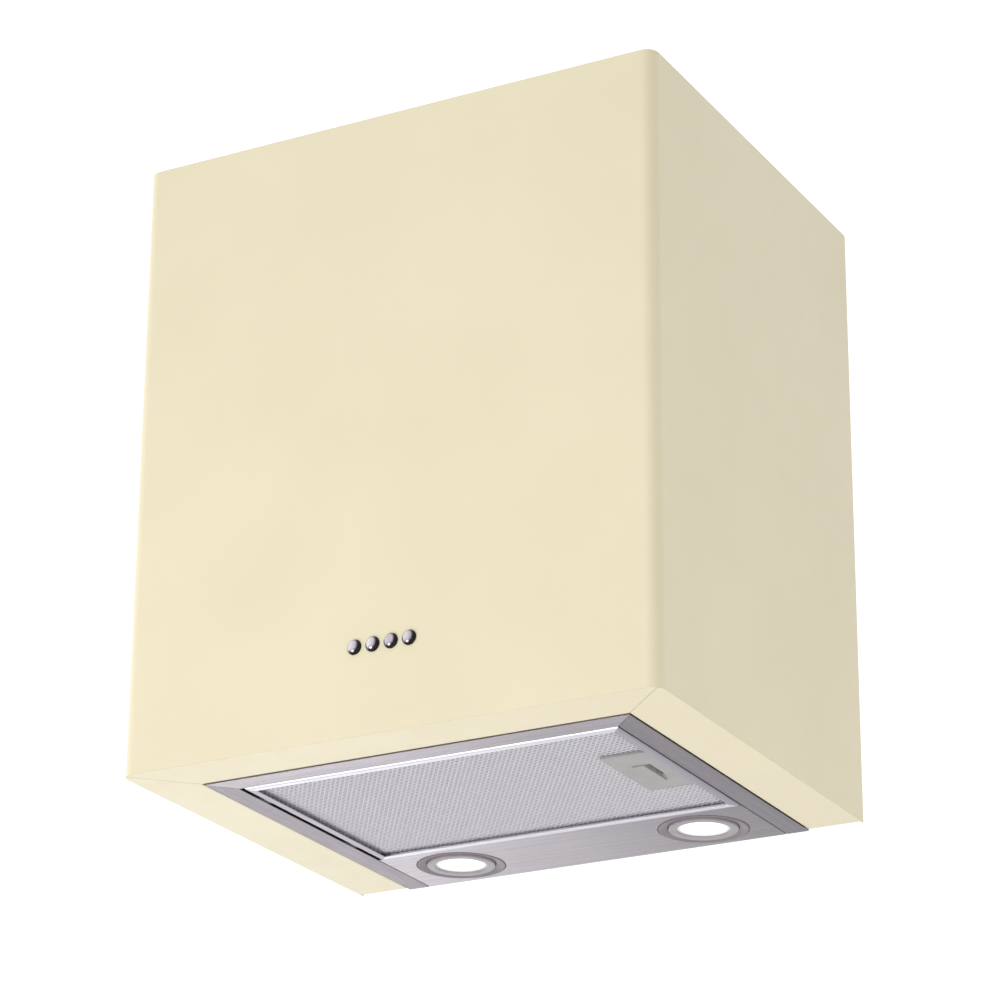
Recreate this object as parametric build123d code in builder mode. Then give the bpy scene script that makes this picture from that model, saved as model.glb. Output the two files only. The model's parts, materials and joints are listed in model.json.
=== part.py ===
"""Wall-hung cube range hood: cream steel casing, stainless insert, mesh filter, two lamps and a blower.

Millimetres. X runs to the right, +Y towards the wall and +Z up. The origin is the centre of the four
wall holes, in the wall plane, so the body lies on the -Y side.
"""

from build123d import *
from math import atan2, cos, degrees, pi, sin
import os

os.makedirs("parts", exist_ok=True)

# ---- driving dimensions ----

WIDTH = 400.0
DEPTH = 320.0
HEIGHT = 450.0
WALL_HOLES_ABOVE_BASE = 250.0

SHEET = 1.0
CORNER_RADIUS = 9.0
LIP_SIDE = 39.5
LIP_FRONT = 38.5
LIP_BACK_GAP = 3.0
HEM_HEIGHT = 4.0
TOP_FLANGE = 16.0
BACK_FLANGE = 15.0
SEAM_WIDTH = 0.4
SEAM_DEPTH = 0.35
SEAM_OVERRUN = 1.0

BACK_SHEET = 1.5
WALL_HOLE_SPACING_X = 340.0
WALL_HOLE_SPACING_Z = 300.0
WALL_HOLE_RADIUS = 4.0

INSERT_PROUD = 0.5
INSERT_HALF_WIDTH = 159.2
INSERT_FRONT_GAP = 2.0
OPENING_HALF_WIDTH = 143.0
INSERT_FRONT_STRIP = 17.5
INSERT_RIM_HEIGHT = 12.0
INSERT_WALL_HEIGHT = 13.0

FILTER_LEFT = -139.2
FILTER_RIGHT = 141.8
FILTER_DEPTH = 185.0
FILTER_THICKNESS = 9.0
FILTER_FRONT_GAP = 0.8
FRAME_SHEET = 0.8
FILTER_PROUD = 0.8
FRAME_LIP = 6.0
FRAME_ROUND = 1.5
FRAME_LEDGE = 2.5

LAMP_PANEL_FRONT = -75.0
LAMP_PANEL_HALF_WIDTH = 142.2
LAMP_X = 96.0
LAMP_Y = -37.5

BUTTON_PITCH = 13.7
BUTTON_RADIUS = 4.9
BUTTON_ABOVE_BASE = 61.8
BUTTON_TRAVEL = 2.0

OUTLET_Y = -132.0
SPIGOT_RADIUS = 74.5
SPIGOT_WALL = 2.2
SPIGOT_HEIGHT = 48.0

BLOWER_Z = 30.0
IMPELLER_RADIUS = 62.0
IMPELLER_HALF_WIDTH = 55.0
BLADES = 36

# ---- places worked out from them ----

BASE = -WALL_HOLES_ABOVE_BASE
TOP = BASE + HEIGHT
FRONT = -DEPTH
HALF = WIDTH / 2
LIP_INNER_X = HALF - LIP_SIDE
LIP_INNER_Y = FRONT + LIP_FRONT
INSERT_Z = BASE - INSERT_PROUD
INSERT_SHEET_TOP = INSERT_Z + SHEET
INSERT_FRONT = LIP_INNER_Y + INSERT_FRONT_GAP
OPENING_FRONT = INSERT_FRONT + INSERT_FRONT_STRIP
FILTER_Z = INSERT_Z - FILTER_PROUD
FILTER_FRONT = OPENING_FRONT + FILTER_FRONT_GAP
FILTER_BACK = FILTER_FRONT + FILTER_DEPTH
BUTTON_Z = BASE + BUTTON_ABOVE_BASE
BUTTON_XS = [(i - 1.5) * BUTTON_PITCH for i in range(4)]
SIDES = {"left": -1, "right": 1}


def save(builder, name):
    """Label a finished piece and write it as its own STEP file."""
    builder.part.label = name
    export_step(builder.part, f"parts/{name}.step")


def block(low, high, mode=Mode.ADD):
    """Add or cut a box between two corners, in the open part."""
    size = [b - a for a, b in zip(low, high)]
    centre = [(a + b) / 2 for a, b in zip(low, high)]
    with Locations(tuple(centre)):
        Box(*size, mode=mode)


def rod(start, direction, radius, length, mode=Mode.ADD):
    """Add or cut a cylinder from a start point along a direction, in the open part."""
    with Locations(Plane(origin=start, z_dir=direction)):
        Cylinder(radius, length, align=(Align.CENTER, Align.CENTER, Align.MIN), mode=mode)


def plan_outline(inset, back):
    """Draw the casing's plan, inset from its outer face and running to back, in the open sketch."""
    front = FRONT + inset
    with Locations((0, (front + back) / 2)):
        Rectangle(2 * (HALF - inset), back - front)
    fillet(vertices().group_by(Axis.Y)[0], radius=CORNER_RADIUS - inset)


def seam(start, end, z):
    """Cut a fine mitre line into a downward face at height z, in the open part."""
    run = Vector(*end) - Vector(*start)
    middle = (Vector(*start) + Vector(*end)) / 2
    with Locations(Location((middle.X, middle.Y, z), (0, 0, degrees(atan2(run.Y, run.X))))):
        Box(run.length + 2 * SEAM_OVERRUN, SEAM_WIDTH, 2 * SEAM_DEPTH, mode=Mode.SUBTRACT)


# ---- outer casing: front, sides, bottom lips with a hem, top and back flanges ----

CASING_SCREW_X = 191.5
CASING_SCREW_ZS = (-190.0, 20.0, 170.0)
CASING_SCREW_POINTS = [(side * CASING_SCREW_X, z) for side in (-1, 1) for z in CASING_SCREW_ZS]
TOP_SCREW_POINTS = [(x, y) for x in (-191.0, 0.0, 191.0) for y in (-309.5, -16.0)]
TOP_SCREW_POINTS.remove((0.0, -16.0))
SCREW_HOLE = 2.1
FLANGE_TOP = TOP - SHEET
BACK_FLANGE_Y = -BACK_SHEET - 0.1

with BuildPart() as outer_casing:
    with BuildSketch(Plane.XY.offset(BASE)):
        plan_outline(0, 0)
    extrude(amount=HEIGHT)
    with BuildSketch(Plane.XY.offset(BASE + SHEET)):
        plan_outline(SHEET, SHEET)
    extrude(amount=HEIGHT, mode=Mode.SUBTRACT)
    # the opening between the lips, then the hem that stands up along its edges
    block((-LIP_INNER_X, LIP_INNER_Y, BASE - 1), (LIP_INNER_X, SHEET, BASE + 2), Mode.SUBTRACT)
    for side in (-1, 1):
        near = sorted((side * LIP_INNER_X, side * (LIP_INNER_X + SHEET)))
        block((near[0], LIP_INNER_Y - SHEET, BASE), (near[1], -LIP_BACK_GAP, BASE + HEM_HEIGHT))
        end = sorted((side * (LIP_INNER_X - 1), side * (HALF - SHEET)))
        block((end[0], -LIP_BACK_GAP, BASE - 1), (end[1], SHEET, BASE + HEM_HEIGHT), Mode.SUBTRACT)
    block(
        (-LIP_INNER_X - SHEET, LIP_INNER_Y - SHEET, BASE),
        (LIP_INNER_X + SHEET, LIP_INNER_Y, BASE + HEM_HEIGHT),
    )
    for side in (-1, 1):
        corner = 0.3 * CORNER_RADIUS
        seam(
            (side * (HALF - corner), FRONT + corner),
            (side * LIP_INNER_X, LIP_INNER_Y),
            BASE,
        )
    # top flange on three sides and back flanges on both sides
    with BuildSketch(Plane.XY.offset(FLANGE_TOP - SHEET)):
        plan_outline(SHEET / 2, BACK_FLANGE_Y)
        with Locations((0, (FRONT + TOP_FLANGE) / 2)):
            Rectangle(WIDTH - 2 * TOP_FLANGE, DEPTH - TOP_FLANGE, mode=Mode.SUBTRACT)
    extrude(amount=SHEET)
    for side in (-1, 1):
        near = sorted((side * (HALF - SHEET / 2), side * (HALF - BACK_FLANGE)))
        block(
            (near[0], BACK_FLANGE_Y - SHEET, BASE + HEM_HEIGHT + SHEET),
            (near[1], BACK_FLANGE_Y, FLANGE_TOP - SHEET / 2),
        )
    for x in BUTTON_XS:
        rod((x, FRONT - 1, BUTTON_Z), (0, 1, 0), BUTTON_RADIUS + 0.3, 4, Mode.SUBTRACT)
    for x, z in CASING_SCREW_POINTS:
        rod((x, BACK_FLANGE_Y - 2, z), (0, 1, 0), SCREW_HOLE, 3, Mode.SUBTRACT)
    for x, y in TOP_SCREW_POINTS:
        rod((x, y, FLANGE_TOP - 3), (0, 0, 1), SCREW_HOLE, 4, Mode.SUBTRACT)
save(outer_casing, "outer_casing")

# ---- top panel: lies on the top flange, with the outlet and cable holes ----

GLAND_X = 120.0
GLAND_Y = -36.0
GLAND_THREAD_RADIUS = 7.8
COLLAR_SCREW_CIRCLE = 82.0
COLLAR_SCREWS = 4

with BuildPart() as top_panel:
    with BuildSketch(Plane.XY.offset(FLANGE_TOP)):
        plan_outline(SHEET + 0.3, BACK_FLANGE_Y)
    extrude(amount=SHEET)
    rod((0, OUTLET_Y, FLANGE_TOP - 1), (0, 0, 1), SPIGOT_RADIUS + 0.8, 4, Mode.SUBTRACT)
    rod((GLAND_X, GLAND_Y, FLANGE_TOP - 1), (0, 0, 1), GLAND_THREAD_RADIUS + 0.2, 4, Mode.SUBTRACT)
    for x, y in TOP_SCREW_POINTS:
        rod((x, y, FLANGE_TOP - 1), (0, 0, 1), SCREW_HOLE, 4, Mode.SUBTRACT)
    with Locations((0, OUTLET_Y, FLANGE_TOP)):
        with PolarLocations(COLLAR_SCREW_CIRCLE, COLLAR_SCREWS, start_angle=45):
            Cylinder(SCREW_HOLE, 4, mode=Mode.SUBTRACT)
save(top_panel, "top_panel")

# ---- back panel: lies against the wall, with the four wall holes ----

BACK_HALF_WIDTH = HALF - SHEET - 0.3
BACK_LOW = BASE + INSERT_RIM_HEIGHT + 4.0
BACK_HIGH = TOP - 0.2
COUNTERSINK_RADIUS = 3.6

with BuildPart() as back_panel:
    block((-BACK_HALF_WIDTH, -BACK_SHEET, BACK_LOW), (BACK_HALF_WIDTH, 0, BACK_HIGH))
    with Locations(Plane(origin=(0, 0, 0), x_dir=(1, 0, 0), z_dir=(0, -1, 0))):
        with GridLocations(WALL_HOLE_SPACING_X, WALL_HOLE_SPACING_Z, 2, 2):
            Cylinder(WALL_HOLE_RADIUS, 4 * BACK_SHEET, mode=Mode.SUBTRACT)
    for x, z in CASING_SCREW_POINTS:
        with Locations(Plane(origin=(x, 0, z), z_dir=(0, 1, 0))):
            CounterSinkHole(SCREW_HOLE, COUNTERSINK_RADIUS, depth=3)
save(back_panel, "back_panel")

# ---- stainless insert: a flange on three sides with turned-up inner and outer walls ----

INSERT_BACK = -0.5
INSERT_TOP = INSERT_Z + INSERT_WALL_HEIGHT
PANEL_SCREW_YS = (-60.0, -18.0)
PANEL_SCREW_Z = INSERT_Z + 7.0
TONGUE_Y = LIP_INNER_Y + 113.5
TONGUE_HALF_WIDTH = 8.0
TONGUE_LOW = FILTER_Z + 5.6
TONGUE_HIGH = FILTER_Z + 7.4
KEEPER_CLEARANCE = 0.8

with BuildPart() as insert_frame:
    block((-INSERT_HALF_WIDTH, INSERT_FRONT, INSERT_Z), (INSERT_HALF_WIDTH, INSERT_BACK, INSERT_SHEET_TOP))
    block(
        (-OPENING_HALF_WIDTH, OPENING_FRONT, INSERT_Z - 1),
        (OPENING_HALF_WIDTH, 1, INSERT_SHEET_TOP + 1),
        Mode.SUBTRACT,
    )
    for side in (-1, 1):
        outer = sorted((side * INSERT_HALF_WIDTH, side * (INSERT_HALF_WIDTH - SHEET)))
        inner = sorted((side * OPENING_HALF_WIDTH, side * (OPENING_HALF_WIDTH + SHEET)))
        block((outer[0], INSERT_FRONT, INSERT_Z), (outer[1], INSERT_BACK, INSERT_Z + INSERT_RIM_HEIGHT))
        block((inner[0], OPENING_FRONT - SHEET, INSERT_Z), (inner[1], INSERT_BACK, INSERT_TOP))
    block(
        (-INSERT_HALF_WIDTH, INSERT_FRONT, INSERT_Z),
        (INSERT_HALF_WIDTH, INSERT_FRONT + SHEET, INSERT_Z + INSERT_RIM_HEIGHT),
    )
    block(
        (-OPENING_HALF_WIDTH, OPENING_FRONT - SHEET, INSERT_Z),
        (OPENING_HALF_WIDTH, OPENING_FRONT, INSERT_TOP),
    )
    for side in (-1, 1):
        seam((side * INSERT_HALF_WIDTH, INSERT_FRONT), (side * OPENING_HALF_WIDTH, OPENING_FRONT), INSERT_Z)
        for y in PANEL_SCREW_YS:
            start = (side * (OPENING_HALF_WIDTH - 2), y, PANEL_SCREW_Z)
            rod(start, (side, 0, 0), SCREW_HOLE, 5, Mode.SUBTRACT)
    block(
        (OPENING_HALF_WIDTH - 1, TONGUE_Y - TONGUE_HALF_WIDTH - 1, TONGUE_LOW - KEEPER_CLEARANCE),
        (OPENING_HALF_WIDTH + 2, TONGUE_Y + TONGUE_HALF_WIDTH + 1, TONGUE_HIGH + KEEPER_CLEARANCE),
        Mode.SUBTRACT,
    )
save(insert_frame, "insert_frame")

# ---- insert brackets: folded straps from the casing's lips to the insert's outer wall ----

BRACKET_WIDTH = 30.0
BRACKET_SHEET = 1.2
BRACKET_TOP = INSERT_Z + INSERT_RIM_HEIGHT


def outline(points, plane):
    """A closed outline through the given points, as a face on a plane."""
    with BuildSketch(plane) as section:
        with BuildLine():
            Polyline(*points, close=True)
        make_face()
    return section.sketch


def strap(wall, plane):
    """Add one folded strap; on its plane, x runs outward from the insert's outer wall and y up."""
    foot = BASE + SHEET
    outer = wall + 10
    section = [
        (wall, BRACKET_TOP - 6),
        (wall, BRACKET_TOP),
        (outer, BRACKET_TOP),
        (outer, foot + BRACKET_SHEET),
        (wall + 28, foot + BRACKET_SHEET),
        (wall + 28, foot),
        (outer - BRACKET_SHEET, foot),
        (outer - BRACKET_SHEET, BRACKET_TOP - BRACKET_SHEET),
        (wall + BRACKET_SHEET, BRACKET_TOP - BRACKET_SHEET),
        (wall + BRACKET_SHEET, BRACKET_TOP - 6),
    ]
    extrude(outline(section, plane), amount=BRACKET_WIDTH / 2, both=True)


with BuildPart() as insert_brackets:
    for y in (-235.0, -70.0):
        for side in (-1, 1):
            strap(INSERT_HALF_WIDTH, Plane(origin=(0, y, 0), x_dir=(side, 0, 0), z_dir=(0, -side, 0)))
    for x in (-90.0, 90.0):
        strap(0, Plane(origin=(x, INSERT_FRONT, 0), x_dir=(0, -1, 0), z_dir=(-1, 0, 0)))
save(insert_brackets, "insert_brackets")

# ---- lamp panel: stainless tray behind the filter, with two lamp holes ----

PANEL_BACK = -0.5
PANEL_WALL = 10.0
LAMP_HOLE = 32.2

with BuildPart() as lamp_panel:
    block(
        (-LAMP_PANEL_HALF_WIDTH, LAMP_PANEL_FRONT, INSERT_Z),
        (LAMP_PANEL_HALF_WIDTH, PANEL_BACK, INSERT_SHEET_TOP),
    )
    wall_top = INSERT_Z + PANEL_WALL
    for side in (-1, 1):
        edge = sorted((side * LAMP_PANEL_HALF_WIDTH, side * (LAMP_PANEL_HALF_WIDTH - SHEET)))
        block((edge[0], LAMP_PANEL_FRONT, INSERT_Z), (edge[1], PANEL_BACK, wall_top))
    for y in (LAMP_PANEL_FRONT, PANEL_BACK - SHEET):
        block((-LAMP_PANEL_HALF_WIDTH, y, INSERT_Z), (LAMP_PANEL_HALF_WIDTH, y + SHEET, wall_top))
    with Locations((-LAMP_X, LAMP_Y, INSERT_Z), (LAMP_X, LAMP_Y, INSERT_Z)):
        Cylinder(LAMP_HOLE, 4, mode=Mode.SUBTRACT)
    for side in (-1, 1):
        for y in PANEL_SCREW_YS:
            start = (side * (LAMP_PANEL_HALF_WIDTH - 3), y, PANEL_SCREW_Z)
            rod(start, (side, 0, 0), SCREW_HOLE, 5, Mode.SUBTRACT)
save(lamp_panel, "lamp_panel")

# ---- filter: rolled channel frame, three layers of mesh, latch on the right, pivots on the left ----

MESH_LOW = FILTER_Z + 3.0
MESH_SHEET = 1.0
MEDIA_SHEET = 3.0
UPPER_MESH_LOW = MESH_LOW + MESH_SHEET + MEDIA_SHEET + 0.2
FRAME_TOP = FILTER_Z + FILTER_THICKNESS
FRAME_CENTRE = ((FILTER_LEFT + FILTER_RIGHT) / 2, (FILTER_FRONT + FILTER_BACK) / 2)
FRAME_WIDTH = FILTER_RIGHT - FILTER_LEFT

LATCH_LEFT = 100.5
LATCH_RIGHT = FILTER_RIGHT - FRAME_LIP - 0.1
LATCH_FRONT = LIP_INNER_Y + 75.5
LATCH_BACK = LATCH_FRONT + 75.0
LATCH_FACE = FILTER_Z + 1.4
LATCH_BODY_LEFT = 104.5
LATCH_BODY_RIGHT = FILTER_RIGHT - FRAME_SHEET - 0.1
LATCH_BODY_FRONT = LATCH_FRONT + 3
LATCH_BODY_BACK = LATCH_BACK - 3
LATCH_BODY_TOP = FILTER_Z + 8.1
LATCH_TRAVEL = 4.8
PAD_LEFT = 113.0
PAD_RIGHT = 121.5
PAD_FRONT = LIP_INNER_Y + 99.0
PAD_BACK = PAD_FRONT + 36.0
PAD_ROUND = (PAD_RIGHT - PAD_LEFT) / 2 - 0.1
PAD_GROOVE = 0.6
PAD_GROOVE_DEPTH = 1.2
FINGER_SLOT_RIGHT = PAD_RIGHT + 4.2
FINGER_SLOT_BACK = PAD_FRONT + 26.0
FINGER_SLOT_DEPTH = 3.4
FINGER_RAMP_RIGHT = FINGER_SLOT_RIGHT + 5.0
FINGER_RAMP_FRONT = FINGER_SLOT_BACK - 2.0
FINGER_RAMP_DEPTH = 1.8
TONGUE_TIP = OPENING_HALF_WIDTH - 0.4
BAR_LEFT = 118.0
SPRING_LEFT = 107.0
NECK_WIDTH = 2.5
NECK_RIGHT = 121.0

PIVOT_X = -141.2
PIVOT_Z = FILTER_Z + 3.8
PIVOT_RADIUS = 1.0
PIVOT_LENGTH = 14.0
PIVOT_YS = (FRAME_CENTRE[1] - 58.0, FRAME_CENTRE[1] + 58.0)


def frame_rectangle(inset, z):
    """A sketch of the filter's plan, inset from the frame's outer face."""
    with BuildSketch(Plane.XY.offset(z)) as plan:
        with Locations(FRAME_CENTRE):
            Rectangle(FRAME_WIDTH - 2 * inset, FILTER_DEPTH - 2 * inset)
    return plan.sketch


with BuildPart() as filter_frame:
    add(frame_rectangle(0, FILTER_Z))
    extrude(amount=FILTER_THICKNESS)
    fillet(faces().sort_by(Axis.Z)[0].edges(), radius=FRAME_ROUND)
    # a dark groove above the lip, then the ledge that the filling rests on
    add(frame_rectangle(FRAME_LEDGE, FILTER_Z + FRAME_SHEET))
    extrude(amount=MESH_LOW - FILTER_Z - FRAME_SHEET, mode=Mode.SUBTRACT)
    add(frame_rectangle(FRAME_SHEET, MESH_LOW))
    extrude(amount=FRAME_TOP - FRAME_SHEET - MESH_LOW, mode=Mode.SUBTRACT)
    add(frame_rectangle(FRAME_LIP, FILTER_Z))
    extrude(amount=FILTER_THICKNESS, mode=Mode.SUBTRACT)
    block(
        (FILTER_RIGHT - 2, TONGUE_Y - TONGUE_HALF_WIDTH - 0.4, TONGUE_LOW - 0.3),
        (FILTER_RIGHT + 1, TONGUE_Y + TONGUE_HALF_WIDTH + 0.4, TONGUE_HIGH + 0.3),
        Mode.SUBTRACT,
    )
save(filter_frame, "filter_frame")


def make_layer(low, thickness):
    """One sheet of the filter's filling, cut out round the latch's body."""
    with BuildPart() as layer:
        add(frame_rectangle(FRAME_SHEET + 0.1, low))
        extrude(amount=thickness)
        block(
            (LATCH_LEFT - 0.2, LATCH_FRONT - 0.2, low - 1),
            (FILTER_RIGHT, LATCH_BACK + 0.2, low + thickness + 1),
            Mode.SUBTRACT,
        )
    return layer


filter_mesh_lower = make_layer(MESH_LOW, MESH_SHEET)
save(filter_mesh_lower, "filter_mesh_lower")
filter_media = make_layer(MESH_LOW + MESH_SHEET + 0.1, MEDIA_SHEET)
save(filter_media, "filter_media")
filter_mesh_upper = make_layer(UPPER_MESH_LOW, MESH_SHEET)
save(filter_mesh_upper, "filter_mesh_upper")


def pad_plan(spread, z):
    """A sketch of the finger pad's plan, rounded at the back, spread outwards on its left side and back."""
    with BuildSketch(Plane.XY.offset(z)) as plan:
        with Locations(((PAD_LEFT + PAD_RIGHT - spread) / 2, (PAD_FRONT + PAD_BACK + spread) / 2)):
            Rectangle(PAD_RIGHT - PAD_LEFT + spread, PAD_BACK - PAD_FRONT + spread)
        fillet(vertices().group_by(Axis.Y)[-1], radius=PAD_ROUND)
    return plan.sketch


with BuildPart() as latch_plate:
    block((LATCH_LEFT, LATCH_FRONT, LATCH_FACE), (LATCH_RIGHT, LATCH_BACK, MESH_LOW + 0.1))
    block(
        (LATCH_BODY_LEFT, LATCH_BODY_FRONT, MESH_LOW + 0.1),
        (LATCH_BODY_RIGHT, LATCH_BODY_BACK, LATCH_BODY_TOP),
    )
    # a fine groove traces the pad's left side and back
    add(pad_plan(PAD_GROOVE, LATCH_FACE - 1))
    extrude(amount=PAD_GROOVE_DEPTH + 1, mode=Mode.SUBTRACT)
    add(pad_plan(0, LATCH_FACE))
    extrude(amount=PAD_GROOVE_DEPTH)
    # the bar's channel, open to the right, and the narrower pocket for its spring
    block(
        (BAR_LEFT - LATCH_TRAVEL - 0.3, TONGUE_Y - TONGUE_HALF_WIDTH - 0.2, TONGUE_LOW - 0.15),
        (LATCH_BODY_RIGHT + 1, TONGUE_Y + TONGUE_HALF_WIDTH + 0.2, TONGUE_HIGH + 0.15),
        Mode.SUBTRACT,
    )
    block(
        (SPRING_LEFT, TONGUE_Y - 1.3, TONGUE_LOW - 0.15),
        (BAR_LEFT, TONGUE_Y + 1.3, TONGUE_HIGH + 0.15),
        Mode.SUBTRACT,
    )
    # the slot that the pad's neck slides in
    block(
        (NECK_RIGHT - NECK_WIDTH - LATCH_TRAVEL - 0.2, TONGUE_Y - 6.3, FILTER_Z),
        (NECK_RIGHT + 0.3, TONGUE_Y + 6.3, TONGUE_LOW),
        Mode.SUBTRACT,
    )
    # the finger slot, deep beside the pad, and the ramp that leads out of its back end
    block(
        (PAD_RIGHT - 0.3, PAD_FRONT, LATCH_FACE - 1),
        (FINGER_SLOT_RIGHT, FINGER_SLOT_BACK, LATCH_FACE + FINGER_SLOT_DEPTH),
        Mode.SUBTRACT,
    )
    ramp = [
        (FINGER_RAMP_FRONT, LATCH_FACE - 1),
        (FINGER_RAMP_FRONT, LATCH_FACE + FINGER_RAMP_DEPTH),
        (PAD_BACK, LATCH_FACE),
        (PAD_BACK, LATCH_FACE - 1),
    ]
    extrude(
        outline(ramp, Plane(origin=(PAD_RIGHT + 0.2, 0, 0), x_dir=(0, 1, 0), z_dir=(1, 0, 0))),
        amount=FINGER_RAMP_RIGHT - PAD_RIGHT - 0.2,
        mode=Mode.SUBTRACT,
    )
save(latch_plate, "latch_plate")

with BuildPart() as latch_slider:
    add(pad_plan(0, LATCH_FACE - 0.9))
    extrude(amount=0.8)
    fillet(faces().sort_by(Axis.Z)[0].edges(), radius=0.3)
    block(
        (NECK_RIGHT - NECK_WIDTH, TONGUE_Y - 6, LATCH_FACE - 0.2),
        (NECK_RIGHT, TONGUE_Y + 6, TONGUE_LOW + 0.1),
    )
    block(
        (BAR_LEFT, TONGUE_Y - TONGUE_HALF_WIDTH, TONGUE_LOW),
        (TONGUE_TIP, TONGUE_Y + TONGUE_HALF_WIDTH, TONGUE_HIGH),
    )
save(latch_slider, "latch_slider")


def coil_spring(origin, direction, radius, wire, length, turns):
    """A helical spring that starts at origin and runs along direction."""
    with BuildPart() as spring:
        with BuildLine() as path:
            Helix(length / turns, length, radius, center=origin, direction=direction)
        with BuildSketch(Plane(origin=path.line @ 0, z_dir=path.line % 0)):
            Circle(wire / 2)
        sweep(path=path.line)
    return spring


SPRING_Z = (TONGUE_LOW + TONGUE_HIGH) / 2
latch_spring = coil_spring((SPRING_LEFT + 0.3, TONGUE_Y, SPRING_Z), (1, 0, 0), 0.75, 0.3, 10.2, 12)
save(latch_spring, "latch_spring")

# pivots: a pin between two ears at each end of the frame's left side, and the saddles they sit in

EAR = 2.0
SADDLE_INNER = 1.08
SADDLE_OUTER = 1.75

with BuildPart() as filter_pivots:
    for y in PIVOT_YS:
        rod((PIVOT_X, y - PIVOT_LENGTH / 2, PIVOT_Z), (0, 1, 0), PIVOT_RADIUS, PIVOT_LENGTH)
        for end in (y - PIVOT_LENGTH / 2, y + PIVOT_LENGTH / 2 - EAR):
            rod((PIVOT_X, end, PIVOT_Z), (0, 1, 0), 1.25, EAR)
            block((PIVOT_X, end, PIVOT_Z - 1), (FILTER_LEFT, end + EAR, PIVOT_Z + 1.25))
save(filter_pivots, "filter_pivots")

with BuildPart() as pivot_saddles:
    for y in PIVOT_YS:
        half = PIVOT_LENGTH / 2 - EAR - 0.4
        rod((PIVOT_X, y - half, PIVOT_Z), (0, 1, 0), SADDLE_OUTER, 2 * half)
        block((-OPENING_HALF_WIDTH, y - half, PIVOT_Z - SADDLE_OUTER), (PIVOT_X, y + half, PIVOT_Z))
        block((-OPENING_HALF_WIDTH, y - half, PIVOT_Z), (PIVOT_X + 3, y + half, PIVOT_Z + 3), Mode.SUBTRACT)
        rod((PIVOT_X, y - half - 1, PIVOT_Z), (0, 1, 0), SADDLE_INNER, 2 * half + 2, Mode.SUBTRACT)
save(pivot_saddles, "pivot_saddles")

# ---- lamps: fixed bezel, pull-out ring with its lens, can and bulb above ----

BEZEL_RADIUS = 31.6
BEZEL_BORE = 25.0
BEZEL_FACE = INSERT_Z - 0.4
RING_RADIUS = 24.4
RING_FACE = INSERT_Z - 0.9
LENS_SHOWN = 18.6
LENS_RADIUS = 19.8
LENS_Z = INSERT_Z + 0.6
CAN_TOP = INSERT_Z + 44.0


def turned(points, x, y):
    """Revolve a closed outline of (radius, height) points about an upright axis at x, y."""
    section = outline(points, Plane(origin=(x, y, 0), x_dir=(1, 0, 0), z_dir=(0, -1, 0)))
    revolve(section, axis=Axis((x, y, 0), (0, 0, 1)))


BEZEL_FLANGE = INSERT_SHEET_TOP + 0.1
BEZEL_TOP = BEZEL_FLANGE + 1.2
CAN_LOW = BEZEL_TOP + 0.1
RING_TOP = INSERT_Z + 5.5
LENS_SEAT = LENS_Z - 0.05
LENS_TOP = LENS_Z + 2.4

BEZEL_SECTION = [
    (BEZEL_BORE, BEZEL_FACE + 1.4),
    (BEZEL_RADIUS - 1.2, BEZEL_FACE),
    (BEZEL_RADIUS - 0.2, BEZEL_FACE),
    (BEZEL_RADIUS, BEZEL_FACE + 0.3),
    (BEZEL_RADIUS, BEZEL_FLANGE),
    (BEZEL_RADIUS + 1.6, BEZEL_FLANGE),
    (BEZEL_RADIUS + 1.6, BEZEL_TOP),
    (BEZEL_BORE, BEZEL_TOP),
]
RING_SECTION = [
    (LENS_SHOWN, RING_FACE + 0.5),
    (LENS_SHOWN + 0.8, RING_FACE),
    (RING_RADIUS - 0.6, RING_FACE),
    (RING_RADIUS, RING_FACE + 0.6),
    (RING_RADIUS, RING_TOP),
    (RING_RADIUS - 1.5, RING_TOP),
    (RING_RADIUS - 1.5, LENS_TOP),
    (LENS_RADIUS + 0.1, LENS_TOP),
    (LENS_RADIUS + 0.1, LENS_SEAT),
    (LENS_SHOWN, LENS_SEAT),
]
CAN_SECTION = [
    (26.2, CAN_LOW),
    (33.0, CAN_LOW),
    (33.0, CAN_LOW + 1.0),
    (27.2, CAN_LOW + 1.0),
    (22.0, CAN_TOP),
    (0, CAN_TOP),
    (0, CAN_TOP - 1.0),
    (21.2, CAN_TOP - 1.0),
]
BULB_SECTION = [
    (0, INSERT_Z + 12.0),
    (3.0, INSERT_Z + 12.6),
    (4.5, INSERT_Z + 15.0),
    (4.5, INSERT_Z + 27.0),
    (8.0, INSERT_Z + 29.0),
    (8.0, CAN_TOP - 1.0),
    (0, CAN_TOP - 1.0),
]

with BuildPart() as lamp_bezels:
    for side in SIDES.values():
        turned(BEZEL_SECTION, side * LAMP_X, LAMP_Y)
save(lamp_bezels, "lamp_bezels")

with BuildPart() as lamp_cans:
    for side in SIDES.values():
        turned(CAN_SECTION, side * LAMP_X, LAMP_Y)
save(lamp_cans, "lamp_cans")

with BuildPart() as lamp_bulbs:
    for side in SIDES.values():
        turned(BULB_SECTION, side * LAMP_X, LAMP_Y)
save(lamp_bulbs, "lamp_bulbs")

for name, side in SIDES.items():
    with BuildPart() as lamp_ring:
        turned(RING_SECTION, side * LAMP_X, LAMP_Y)
    save(lamp_ring, f"lamp_ring_{name}")
    with BuildPart() as lamp_lens:
        rod((side * LAMP_X, LAMP_Y, LENS_Z), (0, 0, 1), LENS_RADIUS, 2.2)
        fillet(lamp_lens.edges().group_by(Axis.Z)[0], radius=0.4)
    save(lamp_lens, f"lamp_lens_{name}")

# ---- air box: open-bottomed sheet box over the insert, with the blower hanging under its roof ----

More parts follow.
